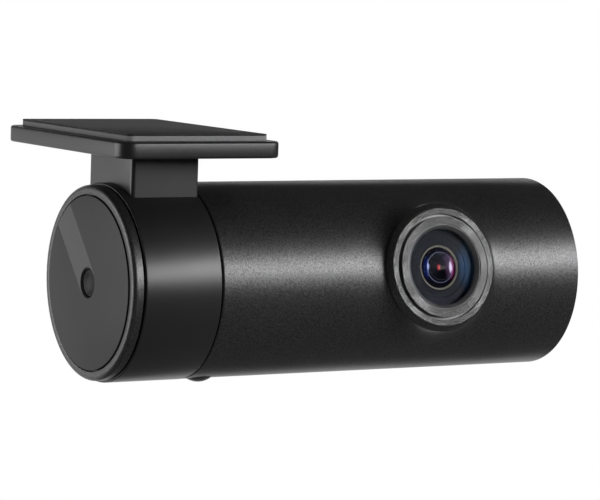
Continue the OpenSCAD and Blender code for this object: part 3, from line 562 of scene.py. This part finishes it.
def lens_places(tree, mapping):
    """X to the right, Y up and the distance from the lens axis."""
    aim_at_lens(mapping)
    parts = tree.nodes.new("ShaderNodeSeparateXYZ")
    tree.links.new(mapping.outputs[0], parts.inputs[0])
    x, y = parts.outputs[0], parts.outputs[1]
    return x, y, distance(tree, x, y)


# place and half size of each painted glint on the inner elements, in millimetres, and its colour: painted
# highlights and reflections that glow
PAINTED_GLINTS = (
    ((1.7, 0.1), (0.9, 1.9), (0.050, 0.020, 0.045, 1)),
    ((0.9, 1.5), (0.5, 0.35), (0.055, 0.028, 0.060, 1)),
    ((2.55, 0.0), (0.30, 1.7), (0.20, 0.012, 0.085, 1)),
    ((2.05, 0.0), (0.38, 0.95), (0.80, 0.62, 0.78, 1)),
    ((2.15, 0.0), (0.20, 0.50), (1.0, 0.93, 1.0, 1)),
    ((-2.62, 0.0), (0.24, 1.5), (0.006, 0.018, 0.13, 1)),
    ((-2.50, 0.25), (0.14, 0.55), (0.60, 0.70, 0.98, 1)),
    ((-0.62, 0.0), (0.22, 0.42), (0.85, 0.055, 0.045, 1)),
    ((-0.52, 0.05), (0.08, 0.16), (1.0, 0.35, 0.30, 1)),
    ((0.15, 0.0), (0.12, 0.14), (0.30, 0.33, 0.13, 1)),
)


def inner_glass(name):
    """Dark coated element: violet and blue coating toward its rim, painted as a reflection on the left and right
    sides, with painted glints that glow as highlights and reflections of the elements behind it.
    """
    material, tree, shader, mapping = start_material(name)
    x, y, radius = lens_places(tree, mapping)
    # coating tint painted as a reflection: navy on the left, magenta on the right, fading to near black toward top
    # and bottom
    reflection_left_right = zone(tree, x, -1.6 * MM, 1.6 * MM)
    painted_reflection_band = zone(tree, math_node(tree, "ABSOLUTE", y), 2.6 * MM, 0.9 * MM)
    rim = mix_colour(tree, reflection_left_right, (0.004, 0.010, 0.075, 1), (0.10, 0.003, 0.035, 1))
    rim = mix_colour(tree, painted_reflection_band, (0.004, 0.003, 0.008, 1), rim)
    colour = mix_colour(tree, zone(tree, radius, 2.65 * MM, 3.0 * MM), (0.004, 0.003, 0.006, 1), rim)
    colour = mix_colour(tree, zone(tree, radius, 3.15 * MM, 3.4 * MM), colour, (0.004, 0.004, 0.006, 1))
    # painted highlight ring at 2.66 mm and a faint grey ring line at 2.2 mm
    for ring, half, tint in ((2.66, 0.02, (0.30, 0.32, 0.42, 1)), (2.2, 0.01, (0.07, 0.07, 0.09, 1))):
        colour = mix_colour(tree, band(tree, radius, ring * MM, half * MM, 0.05 * MM), colour, tint)
    tree.links.new(colour, shader.inputs["Base Color"])
    # painted glints: highlights and reflections painted as glow over the element
    glow = (0.0, 0.0, 0.0, 1)
    for at, half, tint in PAINTED_GLINTS:
        glow = mix_colour(tree, spot(tree, x, y, at, half), glow, tint)
    tree.links.new(glow, shader.inputs["Emission Color"])
    shader.inputs["Emission Strength"].default_value = 1.0
    cloud = noise(tree, mapping.outputs[0], 700.0, 2.0)
    tree.links.new(add(tree, times(tree, cloud, 0.02), 0.04), shader.inputs["Roughness"])
    shader.inputs["Specular IOR Level"].default_value = 0.02
    return material


def baffle_metal(name):
    """Black anodised retainer with a bare olive lip at the opening and a painted blue reflection that glows on one
    side.
    """
    material, tree, shader, mapping = start_material(name)
    x, y, radius = lens_places(tree, mapping)
    group = use_group(tree, turning_marks(), mapping.outputs[0],
                      {"Lines": 9000.0, "Contrast": 0.4, "Roughness": 0.42, "Spread": 0.15})
    lip = band(tree, radius, 3.76 * MM, 0.09 * MM, 0.09 * MM)
    tint = mix_colour(tree, lip, (0.008, 0.008, 0.009, 1), (0.36, 0.31, 0.21, 1))
    tree.links.new(tint, group.inputs["Colour"])
    wear(tree, shader, group)
    # painted reflection: a blue glow on the right side of the opening
    painted_blue_reflection = spot(tree, x, y, (5.2, 0.2), (1.1, 2.6), 0.8)
    painted_blue_reflection = times(tree, painted_blue_reflection, zone(tree, radius, 3.9 * MM, 4.6 * MM))
    glow = mix_colour(tree, painted_blue_reflection, (0, 0, 0, 1), (0.006, 0.034, 0.075, 1))
    tree.links.new(glow, shader.inputs["Emission Color"])
    shader.inputs["Emission Strength"].default_value = 1.0
    shader.inputs["Specular IOR Level"].default_value = 0.05
    add_bump(tree, shader, group.outputs["Height"], 0.2, 0.00002)
    return material


# finishes that are grain alone: colour or the setting that holds it, roughness, fleck size, fleck, the rest
GRAINED = {
    "body_finish": ("paint", 0.36, 3800.0, 0.75, dict(spread=0.05, bump=0.4, metallic=0.8, specular=1.0)),
    "mount_finish": ("mount", 0.34, 5200.0, 0.22, dict(bump=0.05, specular=0.5)),
    "disc_finish": ("disc", 0.42, 7000.0, 0.10, dict(bump=0.02, specular=0.2)),
    "stripe_finish": ("stripe", 0.40, 7000.0, 0.12, dict(bump=0.02, specular=0.2)),
    "black_plastic": ("black", 0.45, 6000.0, 0.2, dict(bump=0.06, specular=0.15)),
    "surround_finish": ((0.060, 0.060, 0.062, 1), 0.36, 6000.0, 0.15, dict(bump=0.03, specular=0.8)),
    "adhesive": ("film", 0.55, 2500.0, 0.15, dict(bump=0.03, specular=0.18)),
    "foam": ("foam", 0.85, 3200.0, 0.15, dict(spread=0.1, bump=0.3, specular=0.2)),
    "seal_rubber": ((0.012, 0.012, 0.012, 1), 0.6, 5200.0, 0.3, dict(bump=0.1)),
    "screw_steel": ((0.5, 0.5, 0.51, 1), 0.3, 2600.0, 0.12, dict(metallic=1.0)),
    "chip_black": ((0.018, 0.018, 0.020, 1), 0.55, 6000.0, 0.35, dict(bump=0.12)),
    "flex_amber": ((0.45, 0.19, 0.02, 1), 0.25, 1500.0, 0.15, {}),
    "connector_white": ((0.72, 0.72, 0.68, 1), 0.45, 3000.0, 0.05, {}),
    "plated_metal": ((0.62, 0.62, 0.63, 1), 0.22, 2000.0, 0.10, dict(metallic=1.0)),
    "sink_aluminium": ((0.66, 0.66, 0.67, 1), 0.38, 3000.0, 0.12, dict(metallic=1.0)),
    "gap_pad": ((0.30, 0.38, 0.50, 1), 0.75, 2500.0, 0.25, dict(bump=0.2)),
    "sleeve_blue": ((0.012, 0.025, 0.11, 1), 0.28, 1200.0, 0.12, {}),
    "antenna_ceramic": ((0.62, 0.58, 0.46, 1), 0.5, 4000.0, 0.10, {}),
    "card_plastic": ((0.016, 0.016, 0.018, 1), 0.5, 5000.0, 0.25, dict(bump=0.06)),
    "lamp_lens": ((0.022, 0.022, 0.024, 1), 0.3, 2500.0, 0.06, dict(coat=0.3)),
    "speaker_frame": ((0.05, 0.05, 0.053, 1), 0.5, 5200.0, 0.25, dict(bump=0.08)),
    "cone_paper": ((0.02, 0.02, 0.021, 1), 0.8, 2200.0, 0.5, dict(bump=0.4)),
}
SPECIAL = {"bezel_metal": bezel_metal, "front_glass": front_glass, "inner_glass": inner_glass,
           "baffle_finish": baffle_metal, "board_green": circuit_board}
MADE = {}


def finish(slot):
    """The finish by its name, made the first time that it is asked for."""
    if slot not in MADE:
        name = "dashcam_" + slot
        if slot in SPECIAL:
            MADE[slot] = SPECIAL[slot](name)
        else:
            tint, rough, fleck_size, fleck, rest = GRAINED[slot]
            if isinstance(tint, str):
                tint = tuple(getattr(sizes("finish"), tint))
            MADE[slot] = grained(name, tint, rough, fleck_size, fleck, **rest)
    return MADE[slot]


# ---------------------------------------------------------------- pieces


def slab(name, node, corner, edge, corner_steps, edge_steps):
    """A flat plate as wide, long and thick as the CAD node, with round corners and edges."""
    low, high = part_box(node)
    obj = box_piece(name, low, high)
    bevel_edges(obj, edges_along(2), corner, corner_steps)
    bevel_edges(obj, edges_at(low.z, high.z), edge, edge_steps)
    return obj


class DASHCAM_OT_mount_pad(bpy.types.Operator):
    """Model the adhesive film and the foam pad under it"""
    bl_idname = "dashcam.mount_pad"
    bl_label = "Adhesive film and foam pad"

    def execute(self, context):
        corner = sizes("mount").pad_corner
        film = slab("adhesive_film_sheet", "adhesive_film", corner, 0.05 * MM, 6, 2)
        finish_piece(film, "mount", finish("adhesive"), "adhesive_film")
        foam = slab("foam_pad_block", "foam_pad", corner, 0.14 * MM, 6, 3)
        finish_piece(foam, "mount", finish("foam"), "foam_pad")
        return {"FINISHED"}


class DASHCAM_OT_mount_plate(bpy.types.Operator):
    """Model the mount plate with its screw holes"""
    bl_idname = "dashcam.mount_plate"
    bl_label = "Mount plate"

    def execute(self, context):
        size = sizes("mount")
        plate = slab("mount_plate_body", "mount_plate", size.plate_corner, size.plate_edge, 10, 4)
        low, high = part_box("plate_screws")
        bottom, top = (corner.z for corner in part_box("mount_plate"))
        head, shank, sink, sink_depth = 1.9 * MM, 1.1 * MM, 2.05 * MM, 1.4 * MM
        for x in (low.x + head, high.x - head):
            for y in (low.y + head, high.y - head):
                screw = Matrix.Translation((x, y, 0))
                drill(plate, shank, bottom - MM, top + MM, screw, 32)
                drill(plate, sink, top - sink_depth, top + MM, screw, 40)
        finish_piece(plate, "mount", finish("mount_finish"), "mount_plate")
        return {"FINISHED"}


class DASHCAM_OT_clamp(bpy.types.Operator):
    """Model the neck and the collar that holds the camera"""
    bl_idname = "dashcam.clamp"
    bl_label = "Neck and clamp collar"

    def execute(self, context):
        body, mount = sizes("body"), sizes("mount")
        r, edge, x0, x1 = body.collar_radius, 0.28 * MM, body.collar_start, body.collar_end
        inside = r - 3 * MM
        profile = [(inside, x0)] + arc(r - edge, x0 + edge, edge, -90, 0, 4)
        profile += arc(r - edge, x1 - edge, edge, 0, 90, 4) + [(inside, x1)]
        collar = turned("neck_and_collar", profile, 256)
        place(collar, LEVEL @ ALONG_X)
        neck_start, neck_half, neck_foot = 3.9 * MM, 8 * MM, 10 * MM
        neck_y = AXIS.y + 0.2 * MM
        neck = box_piece("neck", (END_X + neck_start, neck_y - neck_half, AXIS.z + neck_foot),
                         (END_X + x1, neck_y + neck_half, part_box("mount_plate")[0].z))
        bevel_edges(neck, edges_along(2), mount.neck_edge, 5)
        cut(collar, neck, "UNION")
        drill(collar, body.collar_bore, x0 - MM, x1 + MM, LEVEL @ ALONG_X, 192)
        finish_piece(collar, "mount", finish("mount_finish"), "neck_collar", 28)
        return {"FINISHED"}


# from a bar drawn out along +Y at the end disc to the stripe's own angle
STRIPE_TURN = Matrix.Rotation(math.radians(58.5), 4, "X")
STRIPE_DEPTH = 0.4 * MM
DISC_THICK = 0.9 * MM


class DASHCAM_OT_button_end(bpy.types.Operator):
    """Model the end cap, the end disc, the stripe and the button"""
    bl_idname = "dashcam.button_end"
    bl_label = "Button end"

    def disc_rim(self):
        """Stations of the disc's face edge, rounded, and its back edge."""
        r, edge = sizes("body").disc_radius, 0.15 * MM
        return [(r - edge, 0)] + arc(r - edge, edge, edge, -90, 0, 3)[1:] + [(r, DISC_THICK)]

    def cap(self):
        body = sizes("body")
        cap_r, edge = body.cap_radius, body.cap_round
        front, back = 0.15 * MM, 2.08 * MM
        profile = mm((2.6, 0.95), (15.08, 0.95), (15.08, 0.25), (15.11, 0.18), (15.18, 0.15))
        profile += arc(cap_r - edge, front + edge, edge, -90, 0, 8)
        profile += [(cap_r, back - 0.1 * MM), (cap_r - 0.1 * MM, back)]
        profile += mm((13.25, 2.08), (13.25, 3.6), (4, 3.6), (4, 2.08), (2.6, 2.08))
        cap = turned("end_cap_ring", profile, 192, loop=True)
        screw_circle = Matrix.Translation((0, 11.4 * MM, 0))
        for degrees in (30, 150, 270):
            screw = Matrix.Rotation(math.radians(degrees), 4, "Z") @ screw_circle
            drill(cap, 0.9 * MM, 0, 5 * MM, screw, 24)
            drill(cap, 1.6 * MM, 0.5 * MM, 1.5 * MM, screw, 32)
        place(cap, PITCHED @ ALONG_X)
        finish_piece(cap, "camera", finish("body_finish"), "end_cap")

    def disc(self):
        profile = [(2.64 * MM, 0)] + self.disc_rim() + [(2.34 * MM, DISC_THICK), (2.34 * MM, 0.3 * MM)]
        disc = turned("end_disc_plate", profile, 192, loop=True)
        place(disc, PITCHED @ ALONG_X)
        half = sizes("body").stripe + 0.04 * MM
        pocket = box_piece("stripe_pocket", (-MM, 0, -half), (STRIPE_DEPTH, 17 * MM, half))
        drill(pocket, 2.67 * MM, -2 * MM, 2 * MM, ALONG_X, 96)
        place(pocket, PITCHED @ STRIPE_TURN)
        cut(disc, pocket)
        finish_piece(disc, "camera", finish("disc_finish"), "end_disc")

    def stripe(self):
        body = sizes("body")
        middle = 0.5 * MM
        stripe = turned("end_stripe_inlay", [(middle, 0)] + self.disc_rim() + [(middle, DISC_THICK)], 192)
        place(stripe, ALONG_X)
        limit = box_piece("stripe_limit", (-MM, 0, -body.stripe), (STRIPE_DEPTH, 17 * MM, body.stripe))
        cut(stripe, limit, "INTERSECT")
        drill(stripe, 2.70 * MM, -2 * MM, 2 * MM, ALONG_X, 96)
        place(stripe, PITCHED @ STRIPE_TURN)
        finish_piece(stripe, "camera", finish("stripe_finish"), "end_stripe")

    def button(self):
        dish, depth, rim = 5.0, 0.45, 0.35
        radii = [2.02 * i / 10 for i in range(1, 11)]
        profile = mm(*[(r, on_ball(rim + depth, dish, r)) for r in radii], (2.09, rim), (2.14, rim))
        profile += arc(2.14 * MM, 0.47 * MM, 0.12 * MM, -90, 0, 4)[1:]
        profile += mm((2.26, 2.2), (2.9, 2.2), (3, 2.3), (3, 3), (1.2, 3), (1.2, 4.8))
        button = turned("power_button_cap", profile, 96)
        place(button, PITCHED @ ALONG_X)
        finish_piece(button, "button", finish("black_plastic"), "power_button")

    def execute(self, context):
        self.cap()
        self.disc()
        self.stripe()
        self.button()
        return {"FINISHED"}


# the opening in the skin round the lens, and how finely it and the rings that fill it are divided
HOLE_HALF = 16.0 * MM
HOLE_STEPS = 56
SHELL_SIDES = 192
ARC_STEPS = 36
RING_SIDES = 2 * HOLE_STEPS + 4 * ARC_STEPS
LAMP_X = 20.5 * MM
# each slot through the shell's back, in millimetres: name, place along and up, width, height, inner end
SLOTS = (
    ("inlet_opening", 72, -7.4, 9.94, 4.2, 5),
    ("card_opening", 44, -8.05, 12.2, 1.6, 8),
)


def cylinder_height(radius, angle):
    """Distance from the cylinder's axis plane to its skin, at a place given about the lens axis."""
    up = radius * math.sin(angle)
    return math.sqrt(sizes("body").radius ** 2 - up * up)


def boss_stations(angle):
    """Section of the boss at one angle about the lens axis, from the cylinder's skin in to the seat."""
    lens = sizes("lens")
    r, front, slope_w = lens.boss_radius, lens.boss_front, lens.boss_slope
    reach = lens.blend * (0.62 + 0.38 * math.cos(angle) ** 2)
    start_r = r + reach
    start_h = cylinder_height(start_r, angle)
    slope = -start_r * math.sin(angle) ** 2 / start_h
    corner_h = start_h - slope * reach
    wall_top = front - slope_w - 0.1 * MM
    end_h = corner_h + min(reach, 0.9 * (wall_top - corner_h))
    out = [(start_r + 0.5 * MM, None)]
    for i in range(11):
        t = i / 10
        start, corner, end = (1 - t) ** 2, 2 * t * (1 - t), t * t
        out.append((start * start_r + (corner + end) * r, start * start_h + corner * corner_h + end * end_h))
    out += [(r, (end_h + wall_top) / 2), (r, wall_top)]
    for in_by, up_by in ((0.02, 0.07), (0.07, 0.15), (0.15, 0.24)):
        out.append((r - in_by * MM, wall_top + up_by * MM))
    seat = lens.seat_radius
    for out_by, down_by in ((0.12, 0.10), (0.07, 0.06), (0.03, 0.05), (0, 0.08)):
        out.append((seat + out_by * MM, front - down_by * MM))
    return out + [(seat, lens.seat_floor)]


class DASHCAM_OT_main_shell(bpy.types.Operator):
    """Model the main shell with the blended lens boss and its openings"""
    bl_idname = "dashcam.main_shell"
    bl_label = "Main shell"

    def tube(self):
        body, lens = sizes("body"), sizes("lens")
        r, edge = body.radius, body.shell_round
        x0, x1 = body.shell_start, body.shell_end
        profile = [(r - 2 * edge, x0)] + arc(r - edge, x0 + edge, edge, -90, 0, 5)
        for i in range(HOLE_STEPS + 1):
            profile.append((r, lens.along - HOLE_HALF + 2 * HOLE_HALF * i / HOLE_STEPS))
        profile += arc(r - edge, x1 - edge, edge, 0, 90, 5) + [(r - 2 * edge, x1)]
        obj = turned("main_shell_skin", profile, SHELL_SIDES)
        place(obj, ALONG_X)
        return obj

    def open_front(self, obj):
        """Deletes the skin round the lens, to leave room for the boss."""
        lens = sizes("lens")
        limit = ARC_STEPS * 2 * math.pi / SHELL_SIDES
        edit_only(obj)

        def inside(p):
            return abs(p.x - lens.along) < HOLE_HALF - 1e-5 and abs(math.atan2(p.z, -p.y)) < limit - 1e-4

        pick(obj, inside, "FACE")
        bpy.ops.mesh.delete(type="FACE")
        bpy.ops.object.mode_set(mode="OBJECT")

    def boss(self):
        """The boss as rings about the lens axis, each point set to its own section."""
        flat = boss_stations(0.0)
        radii = [(r, MM * i) for i, (r, h) in enumerate(flat)]
        fresh()
        bpy.ops.mesh.primitive_circle_add(vertices=RING_SIDES, radius=radii[0][0], fill_type="NOTHING")
        obj = named("boss")
        bpy.ops.object.mode_set(mode="EDIT")
        bpy.ops.mesh.select_mode(type="EDGE")
        bpy.ops.mesh.select_all(action="SELECT")
        rings(radii)
        bpy.ops.mesh.edge_face_add()
        bpy.ops.object.mode_set(mode="OBJECT")
        for v in obj.data.vertices:
            angle = math.atan2(v.co.y, v.co.x)
            level = round(v.co.z / MM)
            r, h = boss_stations(angle)[level]
            if h is None:
                h = cylinder_height(r, angle)
            v.co = (r * math.cos(angle), r * math.sin(angle), h)
        place(obj, Matrix.Translation((sizes("lens").along, 0, 0)) @ TO_FRONT)
        return obj

    def bridge(self, shell):
        """Joins the opening's border to the boss's outer ring with skin that lies on the cylinder."""
        r = sizes("body").radius
        edit_only(shell)
        bpy.ops.mesh.select_mode(type="EDGE")
        bpy.ops.mesh.select_all(action="DESELECT")
        mesh = bmesh.from_edit_mesh(shell.data)
        for e in mesh.edges:
            e.select_set(len(e.link_faces) == 1)
        before = {v.index for v in mesh.verts}
        count = sum(e.select for e in mesh.edges)
        if count != 2 * RING_SIDES:
            raise RuntimeError(f"the opening and the boss have {count} border edges, not {2 * RING_SIDES}")
        bmesh.update_edit_mesh(shell.data)
        bpy.ops.mesh.bridge_edge_loops(type="SINGLE", number_cuts=6, interpolation="LINEAR")
        mesh = bmesh.from_edit_mesh(shell.data)
        mesh.verts.ensure_lookup_table()
        for v in mesh.verts[len(before):]:
            away = math.hypot(v.co.y, v.co.z)
            v.co.y *= r / away
            v.co.z *= r / away
        bmesh.update_edit_mesh(shell.data)
        tidy_normals()

    def openings(self, shell):
        body, lens = sizes("body"), sizes("lens")
        drill(shell, body.bore, body.shell_start - MM, body.shell_end + MM, ALONG_X, SHELL_SIDES)
        drill(shell, 6.9 * MM, 0, 20 * MM, Matrix.Translation((lens.along, 0, 0)) @ TO_FRONT, 128)
        for name, x, z, width, height, start in SLOTS:
            half_w, half_h = width / 2, height / 2
            low, high = (x - half_w, start, z - half_h), (x + half_w, 19, z + half_h)
            tool = box_piece(name, Vector(low) * MM, Vector(high) * MM)
            bevel_edges(tool, edges_along(1), height * 0.499 * MM, 12)
            cut(shell, tool)
        drill(shell, 2.2 * MM, -19 * MM, -13 * MM, Matrix.Translation((LAMP_X, 0, 0)), 64)
        drill(shell, 0.5 * MM, -19 * MM, -13 * MM, Matrix.Translation((30 * MM, 0, 0)), 24)

    def execute(self, context):
        shell = self.tube()
        self.open_front(shell)
        boss = self.boss()
        only(shell)
        boss.select_set(True)
        bpy.ops.object.join()
        self.bridge(shell)
        self.openings(shell)
        place(shell, PITCHED)
        finish_piece(shell, "camera", finish("body_finish"), "main_shell", 34)
        return {"FINISHED"}


# sections of the turned pieces behind the front glass and round it: radius and height in millimetres
SURROUND = ((6.72, 17.1), (9.26, 17.1), (9.26, 18.04), (9.2, 18.1), (7.46, 18.1), (7.46, 18.89),
            (7.42, 18.95), (7.34, 18.95), (7.15, 18.8), (6.9, 18.52), (6.76, 18.36), (6.72, 18.3))
BAFFLE = ((3.6, 14.5), (5.27, 14.5), (5.27, 17.04), (5.21, 17.1), (3.85, 17.1), (3.8, 17.08), (3.62, 16.9),
          (3.6, 16.86))
BARREL = ((5.3, 4.2), (6, 4.2), (6, 13), (6.6, 13), (6.6, 17.07), (6.52, 17.15), (5.36, 17.15), (5.3, 17.09))


def lens_piece(name, section, sides, slot, node, look=None, angle=32, loop=True):
    """Turns a section in millimetres about the lens axis; its finish is its slot's if none is named."""
    obj = turned(name, mm(*section), sides, loop)
    place(obj, PITCHED @ Matrix.Translation((sizes("lens").along, 0, 0)) @ TO_FRONT)
    finish_piece(obj, "camera", finish(look or slot), node, angle)


def ring_section(r0, r1, h0, h1):
    """Section of a ring with its two front edges rounded."""
    edge = 0.12
    top = h1 - edge
    return [(r0, h0), (r1, h0)] + arc(r1 - edge, top, edge, 0, 90, 4) + arc(r0 + edge, top, edge, 90, 180, 4)


def front_glass_section():
    """A shallow dome in front, an upright rim and a hollow behind."""
    dome, edge_h, r_glass, foot = 30.0, 18.35, 6.5, 17.2
    front = edge_h - math.sqrt(dome * dome - r_glass * r_glass) + dome
    out = [(0.25, front)]
    for i in range(1, 25):
        r = 6.42 * i / 24
        out.append((max(r, 0.3), on_ball(front, dome, r)))
    out += [(6.49, edge_h - 0.04), (r_glass, edge_h - 0.1), (r_glass, foot)]
    back, back_top = 9.0, 18.3
    rim = math.sqrt(back * back - (foot - back_top + back) ** 2)
    for i in range(8):
        r = rim * (1 - i / 8)
        out.append((r, on_ball(back_top, back, r)))
    return out + [(0.2, back_top)]


def middle_glass_section():
    """A strong dome in front, an upright rim and a weaker dome behind."""
    front, front_r, back, back_r = 18.0, 6.0, 14.6, 12.0
    out = [(0.15, front)]
    for i in range(1, 25):
        r = 3.5 * i / 24
        out.append((r, on_ball(front, front_r, r)))
    out += [(3.57, 16.78), (3.57, 15.2)]
    for i in range(9):
        r = 3.5 * (1 - i / 9)
        out.append((r, 2 * back - on_ball(back, back_r, r)))
    return out


class DASHCAM_OT_lens(bpy.types.Operator):
    """Model the lens rings, the glass and what shows through it"""
    bl_idname = "dashcam.lens"
    bl_label = "Lens"

    def execute(self, context):
        lens_piece("lens_bezel_ring", ring_section(9.3, 10.31, 17.1, 18.65), 192, "bezel_metal", "lens_bezel")
        lens_piece("lens_trim", ring_section(7.52, 8.88, 18.1, 19.1), 192, "bezel_metal", "lens_trim_ring")
        lens_piece("lens_surround_cone", SURROUND, 192, "black_plastic", "lens_surround", "surround_finish")
        lens_piece("front_lens_glass", front_glass_section(), 160, "front_glass", "front_lens",
                   angle=20, loop=False)
        lens_piece("lens_baffle_ring", BAFFLE, 128, "baffle_finish", "lens_baffle")
        lens_piece("lens_barrel_tube", BARREL, 128, "black_plastic", "lens_barrel", "baffle_finish")
        lens_piece("middle_lens_glass", middle_glass_section(), 128, "inner_glass", "middle_lens", loop=False)
        return {"FINISHED"}


class DASHCAM_OT_lamp(bpy.types.Operator):
    """Model the status lamp's domed lens"""
    bl_idname = "dashcam.lamp"
    bl_label = "Status lamp"

    def execute(self, context):
        dome, r_lamp, out, edge = 3.8, 2.15, 0.66, 0.06
        tip = -sizes("body").radius / MM - out
        profile = [(0.1, tip)]
        for i in range(1, 15):
            r = (r_lamp - edge) * i / 14
            profile.append((r, 2 * tip - on_ball(tip, dome, r)))
        rim = 2 * tip - on_ball(tip, dome, r_lamp)
        foot = tip + 2.1
        profile += [(r_lamp, rim + edge), (r_lamp, foot - 0.1), (r_lamp - 0.1, foot)]
        profile += [(1.3, foot), (1.3, -10.75)]
        lamp = turned("status_lens_dome", mm(*profile), 72)
        place(lamp, PITCHED @ Matrix.Translation((LAMP_X, 0, 0)))
        finish_piece(lamp, "camera", finish("lamp_lens"), "status_lens")
        return {"FINISHED"}


class DASHCAM_OT_carried_over(bpy.types.Operator):
    """Give every CAD node that stays its procedural finish"""
    bl_idname = "dashcam.carried_over"
    bl_label = "Finishes of the inner pieces"

    def execute(self, context):
        for part in frame["record"]["subparts"]:
            obj = frame["nodes"][part["node"]]
            material = finish(part["material_slot"])
            if obj.data.materials:
                for i in range(len(obj.data.materials)):
                    obj.data.materials[i] = material
            else:
                obj.data.materials.append(material)
        return {"FINISHED"}


# ---------------------------------------------------------------- stage


def seen_and_lit(tree, shader, camera_value, other_value):
    """Sets a strength that is one value to the camera and another to everything else."""
    path = tree.nodes.new("ShaderNodeLightPath")
    level = tree.nodes.new("ShaderNodeMapRange")
    tree.links.new(path.outputs["Is Camera Ray"], level.inputs["Value"])
    level.inputs["To Min"].default_value = other_value
    level.inputs["To Max"].default_value = camera_value
    tree.links.new(level.outputs[0], shader.inputs["Strength"])


def glow_tree(owner, shader_type, output_type, camera_value, other_value):
    """Replaces a material's or world's nodes with one white glow."""
    owner.use_nodes = True
    tree = owner.node_tree
    tree.nodes.clear()
    out = tree.nodes.new(output_type)
    glow = tree.nodes.new(shader_type)
    glow.inputs["Color"].default_value = (1, 1, 1, 1)
    seen_and_lit(tree, glow, camera_value, other_value)
    tree.links.new(glow.outputs[0], out.inputs["Surface"])


def soft_light(name, place_at, aim, width, height, power):
    """A rectangular softbox that the camera doesn't see."""
    lamp = bpy.data.lights.new(name, "AREA")
    lamp.shape = "RECTANGLE"
    lamp.size = width
    lamp.size_y = height
    lamp.energy = power
    obj = bpy.data.objects.new(name, lamp)
    bpy.context.scene.collection.objects.link(obj)
    turn = (aim - place_at).to_track_quat("-Z", "Y")
    obj.matrix_world = Matrix.Translation(place_at) @ turn.to_matrix().to_4x4()
    obj.visible_camera = False


class DASHCAM_OT_stage(bpy.types.Operator):
    """Set up the floor, the lights and the camera"""
    bl_idname = "dashcam.stage"
    bl_label = "Studio"

    def surroundings(self, scene):
        scene.view_settings.view_transform = "Standard"
        scene.world = scene.world or bpy.data.worlds.new("studio")
        glow_tree(scene.world, "ShaderNodeBackground", "ShaderNodeOutputWorld", 1.0, 0.055)
        fresh()
        bpy.ops.mesh.primitive_plane_add(size=6, location=(0, 0, -1.0))
        floor = named("studio_floor")
        white = bpy.data.materials.new("floor_white")
        glow_tree(white, "ShaderNodeEmission", "ShaderNodeOutputMaterial", 1.0, 0.17)
        floor.data.materials.append(white)

    def lights(self):
        middle = Vector((0.03, AXIS.y, AXIS.z))
        tilt = math.radians(19.9)
        key = Vector((0.75, -math.cos(tilt), math.sin(tilt))) * 0.85
        low = Vector((0, 0, -0.44))
        soft_light("key_softbox", middle + key, middle, 1.50, 0.30, 14.8)
        soft_light("left_softbox", middle + Vector((-0.8, 0.45, 0.05)), middle, 0.7, 0.6, 5.0)
        soft_light("back_panel", middle + Vector((0.1, 1.1, 0)) + low, middle + low, 2.4, 1.03, 6.0)
        soft_light("rim_strip", middle + Vector((0.5, 1.1, 0.30)), middle, 2.0, 0.12, 1.3)

    def camera(self, scene):
        az, el, roll = math.radians(-31.0), math.radians(5.6), math.radians(1.93)
        right = Vector((math.cos(az), math.sin(az), 0))
        back = Vector((math.sin(az) * math.cos(el), -math.cos(az) * math.cos(el), math.sin(el)))
        up = back.cross(right)
        x_axis = math.cos(roll) * right + math.sin(roll) * up
        y_axis = -math.sin(roll) * right + math.cos(roll) * up
        lens = bpy.data.cameras.new("studio_camera")
        lens.lens = 181.9
        lens.sensor_width = 36.0
        lens.clip_start = 0.01
        lens.clip_end = 20.0
        eye = bpy.data.objects.new("studio_camera", lens)
        scene.collection.objects.link(eye)
        basis = Matrix((x_axis, y_axis, back)).transposed().to_4x4()
        eye.matrix_world = Matrix.Translation((-0.2446, -0.4611, 0.03065)) @ basis
        scene.camera = eye

    def execute(self, context):
        self.surroundings(context.scene)
        self.lights()
        self.camera(context.scene)
        return {"FINISHED"}


# ---------------------------------------------------------------- add-on


PIECES = (DASHCAM_OT_mount_pad, DASHCAM_OT_mount_plate, DASHCAM_OT_clamp, DASHCAM_OT_button_end,
          DASHCAM_OT_main_shell, DASHCAM_OT_lens, DASHCAM_OT_lamp, DASHCAM_OT_carried_over, DASHCAM_OT_stage)


class DASHCAM_PT_panel(bpy.types.Panel):
    """Lists the pieces and the sizes they are made from"""
    bl_idname = "DASHCAM_PT_panel"
    bl_label = "Dash camera"
    bl_space_type = "VIEW_3D"
    bl_region_type = "UI"
    bl_category = "Dash camera"

    def draw(self, context):
        for group in SETTINGS:
            box = self.layout.box()
            box.label(text=group.capitalize())
            data = sizes(group)
            for key in data.bl_rna.properties.keys():
                if key not in ("rna_type", "name"):
                    box.prop(data, key)
        for piece in PIECES:
            self.layout.operator(piece.bl_idname)


SETTINGS = {"body": BodySizes, "mount": MountSizes, "lens": LensSizes, "finish": Finishes}
CLASSES = tuple(SETTINGS.values()) + PIECES + (DASHCAM_PT_panel,)


def register():
    for cls in CLASSES:
        bpy.utils.register_class(cls)
    for name, cls in SETTINGS.items():
        setattr(bpy.types.Scene, "dashcam_" + name, PointerProperty(type=cls))


def unregister():
    for name in SETTINGS:
        delattr(bpy.types.Scene, "dashcam_" + name)
    for cls in reversed(CLASSES):
        bpy.utils.unregister_class(cls)


def main():
    register()
    for piece in PIECES:
        getattr(bpy.ops.dashcam, piece.bl_idname.split(".")[1])()


if __name__ == "__main__":
    main()
